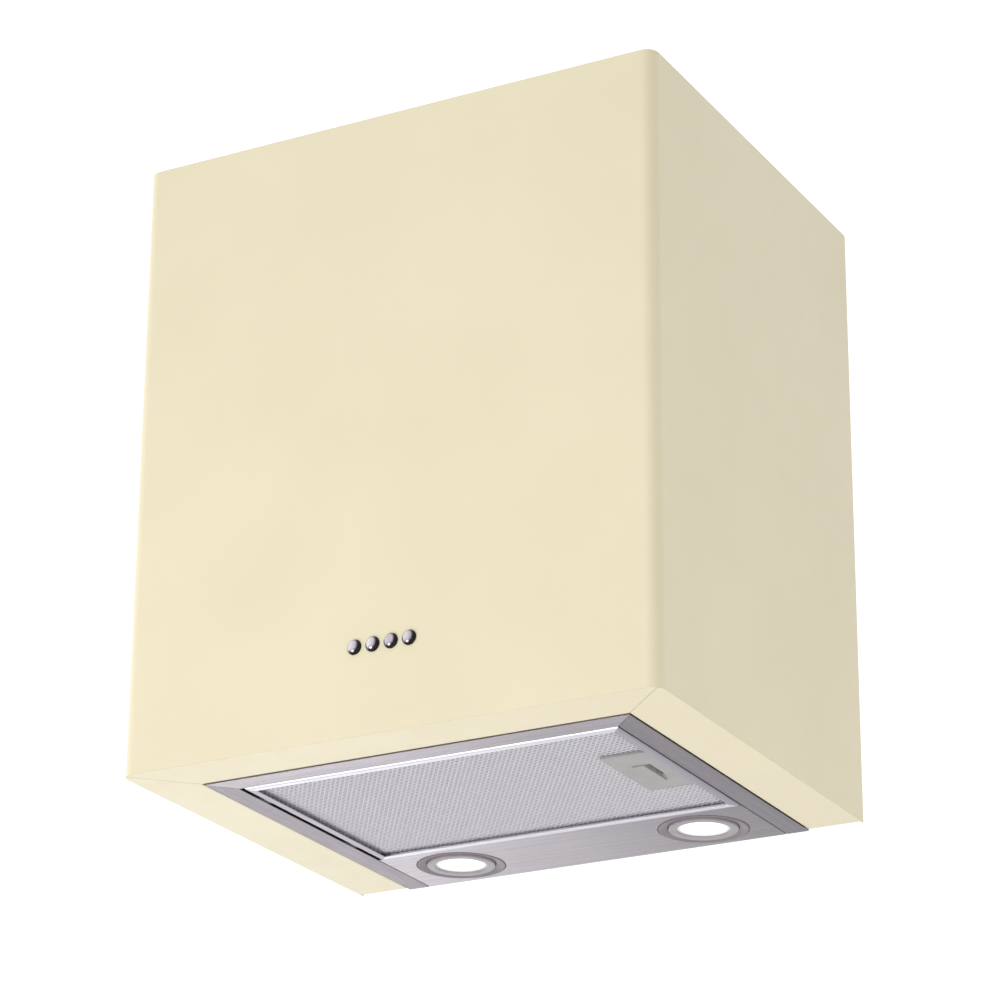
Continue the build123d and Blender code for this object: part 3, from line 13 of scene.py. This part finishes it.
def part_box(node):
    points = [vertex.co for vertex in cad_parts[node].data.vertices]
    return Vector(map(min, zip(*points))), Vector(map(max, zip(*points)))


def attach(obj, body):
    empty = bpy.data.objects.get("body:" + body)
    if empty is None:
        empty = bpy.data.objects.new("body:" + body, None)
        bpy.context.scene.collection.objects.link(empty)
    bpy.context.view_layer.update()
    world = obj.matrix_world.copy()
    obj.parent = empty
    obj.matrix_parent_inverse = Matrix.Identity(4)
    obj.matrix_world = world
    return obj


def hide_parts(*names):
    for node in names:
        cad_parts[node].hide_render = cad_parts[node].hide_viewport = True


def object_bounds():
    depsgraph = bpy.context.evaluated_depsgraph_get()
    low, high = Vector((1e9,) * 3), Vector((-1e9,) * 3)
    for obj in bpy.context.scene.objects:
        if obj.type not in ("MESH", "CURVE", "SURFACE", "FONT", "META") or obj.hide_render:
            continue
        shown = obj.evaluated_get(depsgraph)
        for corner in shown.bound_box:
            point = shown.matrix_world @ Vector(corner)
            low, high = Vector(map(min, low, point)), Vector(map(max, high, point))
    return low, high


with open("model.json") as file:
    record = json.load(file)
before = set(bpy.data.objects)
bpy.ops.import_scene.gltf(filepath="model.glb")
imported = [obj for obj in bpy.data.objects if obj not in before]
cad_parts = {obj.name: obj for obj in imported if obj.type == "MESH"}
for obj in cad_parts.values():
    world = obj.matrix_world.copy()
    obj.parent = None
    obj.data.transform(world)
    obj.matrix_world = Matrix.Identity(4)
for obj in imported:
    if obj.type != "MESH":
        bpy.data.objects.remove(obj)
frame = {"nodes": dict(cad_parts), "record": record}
cad_low, cad_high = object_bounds()

# ---- camera, at the photograph's viewing angle ----

CAMERA_POSITION = Vector((1.14763, -2.27503, -1.01459))
CAMERA_RIGHT = Vector((0.88017, 0.47461, 0.00650))
CAMERA_UP = Vector((0.17442, -0.33614, 0.92552))
CAMERA_LENS = 133.53
SENSOR = 36.0


def make_camera():
    """Place the camera from its own right and up directions."""
    data = bpy.data.cameras.new("camera")
    data.lens = CAMERA_LENS
    data.sensor_width = SENSOR
    data.clip_start = 0.05
    data.clip_end = 100.0
    camera = bpy.data.objects.new("camera", data)
    right = CAMERA_RIGHT.normalized()
    back = right.cross(CAMERA_UP).normalized()
    up = back.cross(right)
    turn = Matrix((right, up, back)).transposed().to_4x4()
    camera.matrix_world = Matrix.Translation(CAMERA_POSITION) @ turn
    bpy.context.scene.collection.objects.link(camera)
    bpy.context.scene.camera = camera


# ---- materials ----


def shade(colour, share):
    """A colour dimmed to a share of itself."""
    return tuple(channel * share for channel in colour)


class Finish:
    """One procedural material, built node by node from the object's own coordinates."""

    def __init__(self, name):
        self.material = bpy.data.materials.new(name)
        self.material.use_nodes = True
        self.nodes = self.material.node_tree.nodes
        self.links = self.material.node_tree.links
        self.shader = self.nodes["Principled BSDF"]
        self.place = self.nodes.new("ShaderNodeTexCoord").outputs["Object"]

    def fixed(self, **values):
        """Set shader inputs that are the same all over the surface."""
        for name, value in values.items():
            self.shader.inputs[name.replace("_", " ")].default_value = value

    def stretched(self, scale, centre=(0, 0, 0)):
        """Object coordinates about a centre, scaled along each axis: a small scale draws a pattern out."""
        node = self.nodes.new("ShaderNodeMapping")
        node.inputs["Scale"].default_value = scale
        node.inputs["Location"].default_value = [-c * s for c, s in zip(centre, scale)]
        self.links.new(self.place, node.inputs["Vector"])
        return node.outputs["Vector"]

    def noise(self, scale, stretch=(1, 1, 1), detail=2.0, roughness=0.5):
        """A noise pattern with this many features per metre."""
        node = self.nodes.new("ShaderNodeTexNoise")
        node.inputs["Scale"].default_value = scale
        node.inputs["Detail"].default_value = detail
        node.inputs["Roughness"].default_value = roughness
        self.links.new(self.stretched(stretch), node.inputs["Vector"])
        return node.outputs["Fac"]

    def cells(self, scale, stretch=(1, 1, 1)):
        """A pattern of cells, each with its own grey, for spangle and grit."""
        node = self.nodes.new("ShaderNodeTexVoronoi")
        node.inputs["Scale"].default_value = scale
        self.links.new(self.stretched(stretch), node.inputs["Vector"])
        split = self.nodes.new("ShaderNodeSeparateColor")
        self.links.new(node.outputs["Color"], split.inputs["Color"])
        return split.outputs["Red"]

    def reach(self, scale, centre):
        """Distance from a centre, with each axis scaled; an axis scaled to 0 doesn't count."""
        node = self.nodes.new("ShaderNodeVectorMath")
        node.operation = "LENGTH"
        self.links.new(self.stretched(scale, centre), node.inputs[0])
        return node.outputs["Value"]

    def spread(self, value, low, high, start=0.35, end=0.65):
        """Map start..end of a pattern to low..high."""
        node = self.nodes.new("ShaderNodeMapRange")
        node.inputs["From Min"].default_value = start
        node.inputs["From Max"].default_value = end
        node.inputs["To Min"].default_value = low
        node.inputs["To Max"].default_value = high
        self.links.new(value, node.inputs["Value"])
        return node.outputs["Result"]

    def figure(self, operation, first, second=None):
        """One sum on a value, with a number or nothing as its second term."""
        node = self.nodes.new("ShaderNodeMath")
        node.operation = operation
        self.links.new(first, node.inputs[0])
        if isinstance(second, (int, float)):
            node.inputs[1].default_value = second
        elif second is not None:
            self.links.new(second, node.inputs[1])
        return node.outputs["Value"]

    def blend(self, factor, first, second):
        """Mix two colours, each a tuple or another node's output."""
        node = self.nodes.new("ShaderNodeMix")
        node.data_type = "RGBA"
        self.links.new(factor, node.inputs["Factor"])
        for socket, colour in ((node.inputs["A"], first), (node.inputs["B"], second)):
            if isinstance(colour, tuple):
                socket.default_value = (*colour, 1.0)
            else:
                self.links.new(colour, socket)
        return node.outputs["Result"]

    def edges(self, radius):
        """A normal that rounds off sharp edges by this radius."""
        node = self.nodes.new("ShaderNodeBevel")
        node.samples = 4
        node.inputs["Radius"].default_value = radius
        return node.outputs["Normal"]

    def bumps(self, *layers, rounding=None):
        """Stack height patterns, each (pattern, depth in metres), on the surface."""
        normal = self.edges(rounding) if rounding else None
        for height, depth in layers:
            node = self.nodes.new("ShaderNodeBump")
            node.inputs["Distance"].default_value = depth
            self.links.new(height, node.inputs["Height"])
            if normal:
                self.links.new(normal, node.inputs["Normal"])
            normal = node.outputs["Normal"]
        self.links.new(normal, self.shader.inputs["Normal"])

    def colour(self, output):
        self.links.new(output, self.shader.inputs["Base Color"])

    def roughness(self, output):
        self.links.new(output, self.shader.inputs["Roughness"])


def cream_paint():
    """Powder-coated steel: fine orange peel, faint clouding and a satin gloss."""
    f = Finish("cream_paint")
    clouds = f.noise(9, detail=3)
    peel = f.noise(700, detail=1)
    f.colour(f.blend(f.spread(clouds, 0, 1), (0.835, 0.752, 0.532), (0.86, 0.775, 0.553)))
    f.roughness(f.spread(f.noise(60, detail=4), 0.30, 0.40))
    f.fixed(IOR=1.46)
    f.bumps((peel, 0.000012), (clouds, 0.0002), rounding=0.0007)
    return f.material


ALONG_X = (0.02, 1, 1)
ALONG_Y = (1, 0.02, 1)
GRAIN_SCALE = 2600
STREAK_SCALE = 240
SCRATCH_DEPTH = 0.000012


class Brushed(Finish):
    """Brushed metal: fine grain and broader streaks, drawn out along one axis or another."""

    def grain(self, along):
        return self.noise(GRAIN_SCALE, along, detail=3)

    def streaks(self, along):
        return self.noise(STREAK_SCALE, along, detail=4)

    def polish(self, grain, streaks, roughness):
        """Set the gloss and the scratches from the grain and the streaks."""
        self.roughness(self.spread(grain, roughness - 0.05, roughness + 0.08))
        self.fixed(Metallic=1.0)
        self.bumps((grain, SCRATCH_DEPTH), (streaks, 2 * SCRATCH_DEPTH), rounding=0.0004)


def brushed(name, tint, dark, roughness):
    """Metal brushed along X, with a drifting tone and smudges."""
    f = Brushed(name)
    streaks = f.streaks(ALONG_X)
    tone = f.blend(f.spread(streaks, 0, 1), dark, tint)
    f.colour(f.blend(f.spread(f.noise(14, detail=4), 0, 0.25), tone, dark))
    f.polish(f.grain(ALONG_X), streaks, roughness)
    return f.material


def mitred(node, tint, painted_shade_side_tint, dark_share, roughness, open_back=False):
    """Brushed bars mitred round an opening: the side bars are brushed along Y and get a darker tint,
    painted shade standing in for their dimmer reflection.
    """
    low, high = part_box(node)
    half_width = (high.x - low.x) / 2
    half_depth = (high.y - low.y) / 2
    f = Brushed(f"mitred_{node}")
    split = f.nodes.new("ShaderNodeSeparateXYZ")
    f.links.new(f.stretched((1, 1, 1), (low + high) / 2), split.inputs["Vector"])
    across = f.figure("ABSOLUTE", split.outputs["X"])
    along = f.figure("MULTIPLY" if open_back else "ABSOLUTE", split.outputs["Y"], -1.0)
    past_mitre = f.figure("SUBTRACT", f.figure("SUBTRACT", across, along), half_width - half_depth)
    side = f.figure("GREATER_THAN", past_mitre, 0.0)
    streaks = f.blend(side, f.streaks(ALONG_X), f.streaks(ALONG_Y))
    # the side bars take the darker tint: painted shade standing in for their dimmer reflection
    light = f.blend(side, tint, painted_shade_side_tint)
    dark = f.blend(side, shade(tint, dark_share), shade(painted_shade_side_tint, dark_share))
    f.colour(f.blend(f.spread(streaks, 0, 1), dark, light))
    f.polish(f.blend(side, f.grain(ALONG_X), f.grain(ALONG_Y)), streaks, roughness)
    return f.material


# where the painted shade on the lamp panel begins, as a share of its width, and how dark its brushed
# streaks get
PAINTED_SHADE_START = 0.4835
STREAK_DARK_SHARE = 0.88


def painted_shade_to_right(node, tint, painted_shade_tint, roughness):
    """Sheet brushed along X, with painted shade: its colour darkens from about its middle to its right end,
    standing in for the sheen falling off.
    """
    low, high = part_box(node)
    f = Brushed(f"faded_{node}")
    split = f.nodes.new("ShaderNodeSeparateXYZ")
    f.links.new(f.place, split.inputs["Vector"])
    painted_shade_fall = f.spread(split.outputs["X"], 0, 1, low.x + PAINTED_SHADE_START * (high.x - low.x), high.x)
    streaks = f.streaks(ALONG_X)
    tones = f.spread(streaks, 0, 1)
    near = f.blend(tones, shade(tint, STREAK_DARK_SHARE), tint)
    far = f.blend(tones, shade(painted_shade_tint, STREAK_DARK_SHARE), painted_shade_tint)
    # painted shade: the colour goes over to the darker tint towards the right end
    f.colour(f.blend(painted_shade_fall, near, far))
    f.polish(f.grain(ALONG_X), streaks, roughness)
    return f.material


STAINLESS = (0.50, 0.465, 0.50)


def stainless():
    return brushed("stainless", STAINLESS, (0.42, 0.39, 0.42), 0.30)


def insert_frame_steel():
    # the side bars' darker tint is painted shade
    return mitred("insert_frame", STAINLESS, (0.29, 0.265, 0.29), 0.85, 0.30, open_back=True)


def lamp_panel_steel():
    # the second tint is the painted shade at the panel's right end
    return painted_shade_to_right("lamp_panel", (0.56, 0.525, 0.56), (0.34, 0.315, 0.34), 0.30)


def filter_aluminium():
    return brushed("filter_aluminium", (0.84, 0.815, 0.87), (0.74, 0.715, 0.77), 0.34)


def filter_frame_aluminium():
    # the side bars' darker tint is painted shade; the front and back bars keep the bright tint where they
    # catch the front light
    return mitred("filter_frame", (0.88, 0.86, 0.91), (0.46, 0.44, 0.49), 0.9, 0.34)


def bright_aluminium():
    return brushed("bright_aluminium", (0.86, 0.86, 0.87), (0.70, 0.70, 0.72), 0.25)


def mesh_aluminium():
    """Cut edges of expanded aluminium: each strand shines a little differently."""
    f = Finish("mesh_aluminium")
    facets = f.cells(420)
    f.colour(f.blend(facets, (0.93, 0.91, 0.96), (0.99, 0.97, 1.0)))
    f.roughness(f.spread(f.noise(900, detail=2), 0.28, 0.46))
    f.fixed(Metallic=0.5)
    f.bumps((f.noise(1500, detail=2), 0.00003))
    return f.material


def galvanised():
    """Zinc-coated sheet: spangle cells, dull patches and grey runs."""
    f = Finish("galvanised")
    spangle = f.cells(110)
    dull = f.noise(22, detail=5)
    tone = f.blend(spangle, (0.42, 0.44, 0.46), (0.62, 0.64, 0.66))
    f.colour(f.blend(f.spread(dull, 0, 0.6), tone, (0.36, 0.37, 0.38)))
    f.roughness(f.spread(spangle, 0.34, 0.52, 0, 1))
    f.fixed(Metallic=0.9)
    f.bumps((spangle, 0.00002), (dull, 0.00008), rounding=0.0004)
    return f.material


def plated(name, tint, dull, roughness):
    """Plated or sprung steel: bright, with fine pitting and duller patches."""
    f = Finish(name)
    patches = f.noise(120, detail=5)
    f.colour(f.blend(f.spread(patches, 0, 1), dull, tint))
    f.roughness(f.spread(f.noise(800, detail=3), roughness, roughness + 0.14))
    f.fixed(Metallic=1.0)
    f.bumps((f.noise(1800, detail=2), 0.00001), rounding=0.0002)
    return f.material


def spring_steel():
    return plated("spring_steel", (0.50, 0.50, 0.52), (0.34, 0.34, 0.36), 0.25)


def screw_zinc():
    return plated("screw_zinc", (0.74, 0.75, 0.77), (0.55, 0.56, 0.58), 0.28)


# centre of the painted bright reflection on a button's cap, and where the painted dark reflection begins
# and ends, as shares of the cap's radius
BUTTON_PAINTED_REFLECTION_CENTRE = (-0.16, 0.10)
BUTTON_PAINTED_DARK_START = 0.55
BUTTON_PAINTED_DARK_END = 0.78


def chrome(node):
    """Polished chrome cap: a clean mirror on top, with a painted dark reflection, set off centre, down its
    flank where it sits in its hole.
    """
    low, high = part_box(node)
    radius = (high.x - low.x) / 2
    aside, above = BUTTON_PAINTED_REFLECTION_CENTRE
    middle = (low + high) / 2 + Vector((aside * radius, 0, above * radius))
    f = Finish(f"chrome_{node}")
    wipes = f.noise(260, (1, 1, 0.2), detail=4)
    clean = f.blend(f.spread(wipes, 0, 1), (0.52, 0.49, 0.55), (0.72, 0.68, 0.74))
    reach = f.reach((1 / radius, 0, 1 / radius), middle)
    painted_dark_reflection = f.spread(reach, 0, 1, BUTTON_PAINTED_DARK_START, BUTTON_PAINTED_DARK_END)
    # the near-black blend is a painted dark reflection, not the chrome's own colour
    f.colour(f.blend(painted_dark_reflection, clean, (0.035, 0.03, 0.035)))
    f.roughness(f.spread(wipes, 0.05, 0.10))
    f.fixed(Metallic=1.0)
    f.bumps((f.noise(900, detail=1), 0.000004), rounding=0.0003)
    return f.material


def moulded(name, tint, worn, roughness, grain=900, depth=0.00003):
    """Moulded plastic: spark-eroded grain, drifting tone and handled, shinier spots."""
    f = Finish(name)
    grit = f.noise(grain, detail=4, roughness=0.6)
    handled = f.noise(70, detail=3)
    f.colour(f.blend(f.spread(handled, 0, 1), tint, worn))
    f.roughness(f.spread(f.noise(140, detail=4), roughness - 0.05, roughness + 0.08))
    f.fixed(IOR=1.5)
    f.bumps((grit, depth), rounding=0.0003)
    return f.material


def grey_plastic():
    return moulded("grey_plastic", (0.385, 0.37, 0.365), (0.42, 0.40, 0.395), 0.50)


def lamp_grey():
    return moulded("lamp_grey", (0.215, 0.185, 0.205), (0.25, 0.22, 0.24), 0.42, depth=0.00001)


def lamp_ring():
    return moulded("lamp_ring", (0.36, 0.32, 0.345), (0.40, 0.36, 0.385), 0.34, depth=0.00001)


def black_plastic():
    return moulded("black_plastic", (0.018, 0.018, 0.020), (0.032, 0.032, 0.034), 0.45)


def white_plastic():
    return moulded("white_plastic", (0.76, 0.76, 0.73), (0.70, 0.70, 0.66), 0.42)


def rubber():
    return moulded("rubber", (0.022, 0.021, 0.020), (0.045, 0.043, 0.040), 0.78, depth=0.00006)


def lead_cover():
    return moulded("lead_cover", (0.55, 0.55, 0.54), (0.48, 0.48, 0.47), 0.55, depth=0.00001)


def winding():
    """Enamelled copper wound in fine turns, darker in the bands between them."""
    f = Finish("winding")
    turns = f.nodes.new("ShaderNodeTexWave")
    turns.bands_direction = "X"
    turns.inputs["Scale"].default_value = 300
    turns.inputs["Distortion"].default_value = 0.6
    f.links.new(f.place, turns.inputs["Vector"])
    f.colour(f.blend(turns.outputs["Fac"], (0.16, 0.05, 0.02), (0.60, 0.24, 0.09)))
    f.roughness(f.spread(f.noise(300, detail=3), 0.28, 0.42))
    f.fixed(Metallic=0.8)
    f.bumps((turns.outputs["Fac"], 0.0002))
    return f.material


LENS_GLOW = 1.1
LENS_RIM_GLOW = 0.28


def lamp_glass(node):
    """Frosted lens, lit from behind: hot in the middle and a grey green towards its rim."""
    low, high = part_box(node)
    centre = (low + high) / 2
    radius = (high.x - low.x) / 2
    f = Finish(f"lamp_glass_{node}")
    frost = f.noise(1100, detail=3)
    rim = f.spread(f.reach((1 / radius, 1 / radius, 0), centre), 0, 1, 0.6, 0.95)
    f.colour(f.blend(frost, (0.52, 0.54, 0.51), (0.60, 0.62, 0.59)))
    glow = f.blend(rim, (1.0, 0.99, 0.97), (0.62, 0.66, 0.60))
    f.links.new(glow, f.shader.inputs["Emission Color"])
    f.links.new(f.spread(rim, LENS_GLOW, LENS_RIM_GLOW, 0, 1), f.shader.inputs["Emission Strength"])
    f.roughness(f.spread(frost, 0.35, 0.5))
    f.bumps((frost, 0.00004), rounding=0.0004)
    return f.material


def bulb_glass():
    """Lit bulb behind the lens: a ribbed, glowing front."""
    f = Finish("bulb_glass")
    facets = f.cells(260)
    f.colour(f.blend(facets, (0.80, 0.80, 0.78), (0.92, 0.92, 0.90)))
    f.links.new(f.blend(facets, (0.90, 0.90, 0.86), (1.0, 0.99, 0.96)), f.shader.inputs["Emission Color"])
    f.shader.inputs["Emission Strength"].default_value = 1.5
    f.roughness(f.spread(facets, 0.2, 0.35, 0, 1))
    f.bumps((facets, 0.0002))
    return f.material


def foil_media_painted_shade():
    """Pad of crushed aluminium foil strands between the two meshes: its tangle varies the tone, and its
    near-black level is painted shade seen through the lower mesh's holes.
    """
    f = Finish("foil_media_painted_shade")
    tangle = f.noise(380, detail=5, roughness=0.7)
    # the near-black to grey range is painted shade behind the mesh strands; the tangle's variation is the
    # foil's own
    f.colour(f.blend(f.spread(tangle, 0, 1), (0.03, 0.029, 0.033), (0.20, 0.195, 0.215)))
    f.roughness(f.spread(tangle, 0.5, 0.7))
    f.fixed(Metallic=0.5)
    f.bumps((tangle, 0.0006))
    return f.material


SLOT_FINISHES = {
    "cream_paint": cream_paint,
    "galvanised": galvanised,
    "stainless": stainless,
    "filter_aluminium": filter_aluminium,
    "mesh_aluminium": mesh_aluminium,
    "grey_plastic": grey_plastic,
    "spring_steel": spring_steel,
    "lamp_grey": lamp_grey,
    "lamp_ring": lamp_ring,
    "bright_aluminium": bright_aluminium,
    "black_plastic": black_plastic,
    "white_plastic": white_plastic,
    "winding": winding,
    "rubber": rubber,
    "lead_cover": lead_cover,
    "screw_zinc": screw_zinc,
}


# nodes whose look differs from the rest of their slot
NODE_FINISHES = {
    "insert_frame": insert_frame_steel,
    "lamp_panel": lamp_panel_steel,
    "filter_frame": filter_frame_aluminium,
    "filter_media": foil_media_painted_shade,
    "lamp_bulbs": bulb_glass,
}


def finish_nodes():
    """Give every CAD node its own finish, or the one of its material slot."""
    made = {name: make() for name, make in SLOT_FINISHES.items()}
    slots = {part["node"]: part["material_slot"] for part in frame["record"]["subparts"]}
    for node, piece in frame["nodes"].items():
        if node in NODE_FINISHES:
            finish = NODE_FINISHES[node]()
        elif slots[node] == "lamp_glass":
            finish = lamp_glass(node)
        elif slots[node] == "chrome":
            finish = chrome(node)
        else:
            finish = made[slots[node]]
        for slot in piece.material_slots:
            slot.material = finish
    return made


# ---- expanded aluminium mesh ----

MESH_PITCH_X = 0.00365
MESH_PITCH_Y = 0.00546
STRAND_WIDTH = 0.0011
STRAND_THICKNESS = 0.0004
STRAND_TILT = math.radians(14)
# the straight part of a strand where it joins its neighbour, as a share of half a pitch
KNUCKLE_SHARE = 0.3
# how far the strands run in under the latch plate's rim
LATCH_COVER = 0.002


def strand_section():
    """Corners of a strand across its run: a flat bar, tilted as slitting and stretching leave it."""
    cosine, sine = math.cos(STRAND_TILT), math.sin(STRAND_TILT)
    corners = []
    for u, v in ((-1, -1), (1, -1), (1, 1), (-1, 1)):
        across, up = u * STRAND_WIDTH / 2, v * STRAND_THICKNESS / 2
        corners.append((across * cosine - up * sine, across * sine + up * cosine))
    return corners


def clear_runs(stations, low, high):
    """Split a strand's stations into runs that stop under the rim of the latch's plate."""
    runs = [[]]
    for x, y in stations:
        if x > low.x + LATCH_COVER and low.y + LATCH_COVER < y < high.y - LATCH_COVER:
            runs.append([])
        else:
            runs[-1].append((x, y))
    return [run for run in runs if len(run) > 1]


def expanded_mesh(node, name):
    """Zigzag strands that run along Y and meet their neighbours at knuckles, filling the node's plan."""
    low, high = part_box(node)
    latch_low, latch_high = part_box("latch_plate")
    section = strand_section()
    middle = (low.z + high.z) / 2
    half_run = MESH_PITCH_Y / 2
    half_knuckle = KNUCKLE_SHARE * half_run / 2
    rows = int((high.x - low.x - 2 * STRAND_WIDTH) / (MESH_PITCH_X / 2))
    turns = int((high.y - low.y) / half_run)
    vertices = []
    faces = []
    for row in range(rows):
        line_x = low.x + STRAND_WIDTH + MESH_PITCH_X / 4 + row * MESH_PITCH_X / 2
        stations = []
        for turn in range(turns):
            side = 1 if (row + turn) % 2 else -1
            x = line_x + side * MESH_PITCH_X / 4
            y = low.y + (turn + 0.5) * half_run
            stations += [(x, y - half_knuckle), (x, y + half_knuckle)]
        for run in clear_runs(stations, latch_low, latch_high):
            first = len(vertices)
            last = first + 4 * (len(run) - 1)
            for x, y in run:
                vertices += [(x + across, y, middle + up) for across, up in section]
            for base in range(first, last, 4):
                for corner in range(4):
                    after = (corner + 1) % 4
                    faces.append((base + corner, base + after, base + 4 + after, base + 4 + corner))
            faces.append((first + 3, first + 2, first + 1, first))
            faces.append((last, last + 1, last + 2, last + 3))
    data = bpy.data.meshes.new(name)
    data.from_pydata(vertices, [], faces)
    data.update()
    piece = bpy.data.objects.new(name, data)
    bpy.context.scene.collection.objects.link(piece)
    return piece


def make_filter_mesh(finish):
    """Replace the lower filter mesh, the one seen from below, with real strands."""
    piece = expanded_mesh("filter_mesh_lower", "expanded_mesh_lower")
    piece.data.materials.append(finish)
    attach(piece, "filter")
    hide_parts("filter_mesh_lower")


# ---- studio: pale floor, soft light ----

FLOOR_Z = -3.2
FLOOR_HALF = 30.0


def make_floor():
    """Pale floor far below, since the hood hangs on a wall and is seen from below."""
    data = bpy.data.meshes.new("floor")
    corners = [(-1, -1), (1, -1), (1, 1), (-1, 1)]
    data.from_pydata([(x * FLOOR_HALF, y * FLOOR_HALF, FLOOR_Z) for x, y in corners], [], [(0, 1, 2, 3)])
    floor = bpy.data.objects.new("floor", data)
    f = Finish("floor_paint")
    f.colour(f.blend(f.spread(f.noise(0.7, detail=3), 0, 1), (0.78, 0.78, 0.79), (0.81, 0.81, 0.82)))
    f.roughness(f.spread(f.noise(3, detail=3), 0.7, 0.8))
    data.materials.append(f.material)
    bpy.context.scene.collection.objects.link(floor)


SKY_LEVEL = 0.92
SKY_SLOPE = (-0.42, 0.06, 0.02)


def make_sky():
    """White studio that dims slowly from the left to the right of the hood."""
    world = bpy.data.worlds.new("studio")
    world.use_nodes = True
    nodes, links = world.node_tree.nodes, world.node_tree.links
    direction = nodes.new("ShaderNodeTexCoord").outputs["Generated"]
    slope = nodes.new("ShaderNodeVectorMath")
    slope.operation = "DOT_PRODUCT"
    slope.inputs[1].default_value = SKY_SLOPE
    links.new(direction, slope.inputs[0])
    level = nodes.new("ShaderNodeMath")
    level.operation = "ADD"
    level.inputs[1].default_value = SKY_LEVEL
    links.new(slope.outputs["Value"], level.inputs[0])
    links.new(level.outputs["Value"], nodes["Background"].inputs["Strength"])
    nodes["Background"].inputs["Color"].default_value = (1.0, 1.0, 1.0, 1.0)
    bpy.context.scene.world = world


def make_light(name, position, aim, size, power):
    """A square soft light at a position, facing a point."""
    data = bpy.data.lights.new(name, "AREA")
    data.shape = "SQUARE"
    data.size = size
    data.energy = power
    light = bpy.data.objects.new(name, data)
    light.location = position
    light.rotation_mode = "QUATERNION"
    light.rotation_quaternion = (Vector(aim) - Vector(position)).to_track_quat("-Z", "Y")
    bpy.context.scene.collection.objects.link(light)


def make_lights():
    """Front light low on the left, a sheen light behind for the steel and a weak one low on the right."""
    bottom = (0.0, (cad_low.y + cad_high.y) / 2, cad_low.z)
    make_light("front_soft", (-0.8, -1.5, -1.2), bottom, 0.8, 9.5)
    make_light("sheen", (-2.2, 2.0, -1.0), bottom, 1.8, 6.0)
    make_light("right_soft", (1.5, -0.3, -1.1), bottom, 0.7, 4.0)


make_camera()
finishes = finish_nodes()
make_filter_mesh(finishes["mesh_aluminium"])
make_floor()
make_sky()
make_lights()
bpy.context.scene.view_settings.view_transform = "Standard"
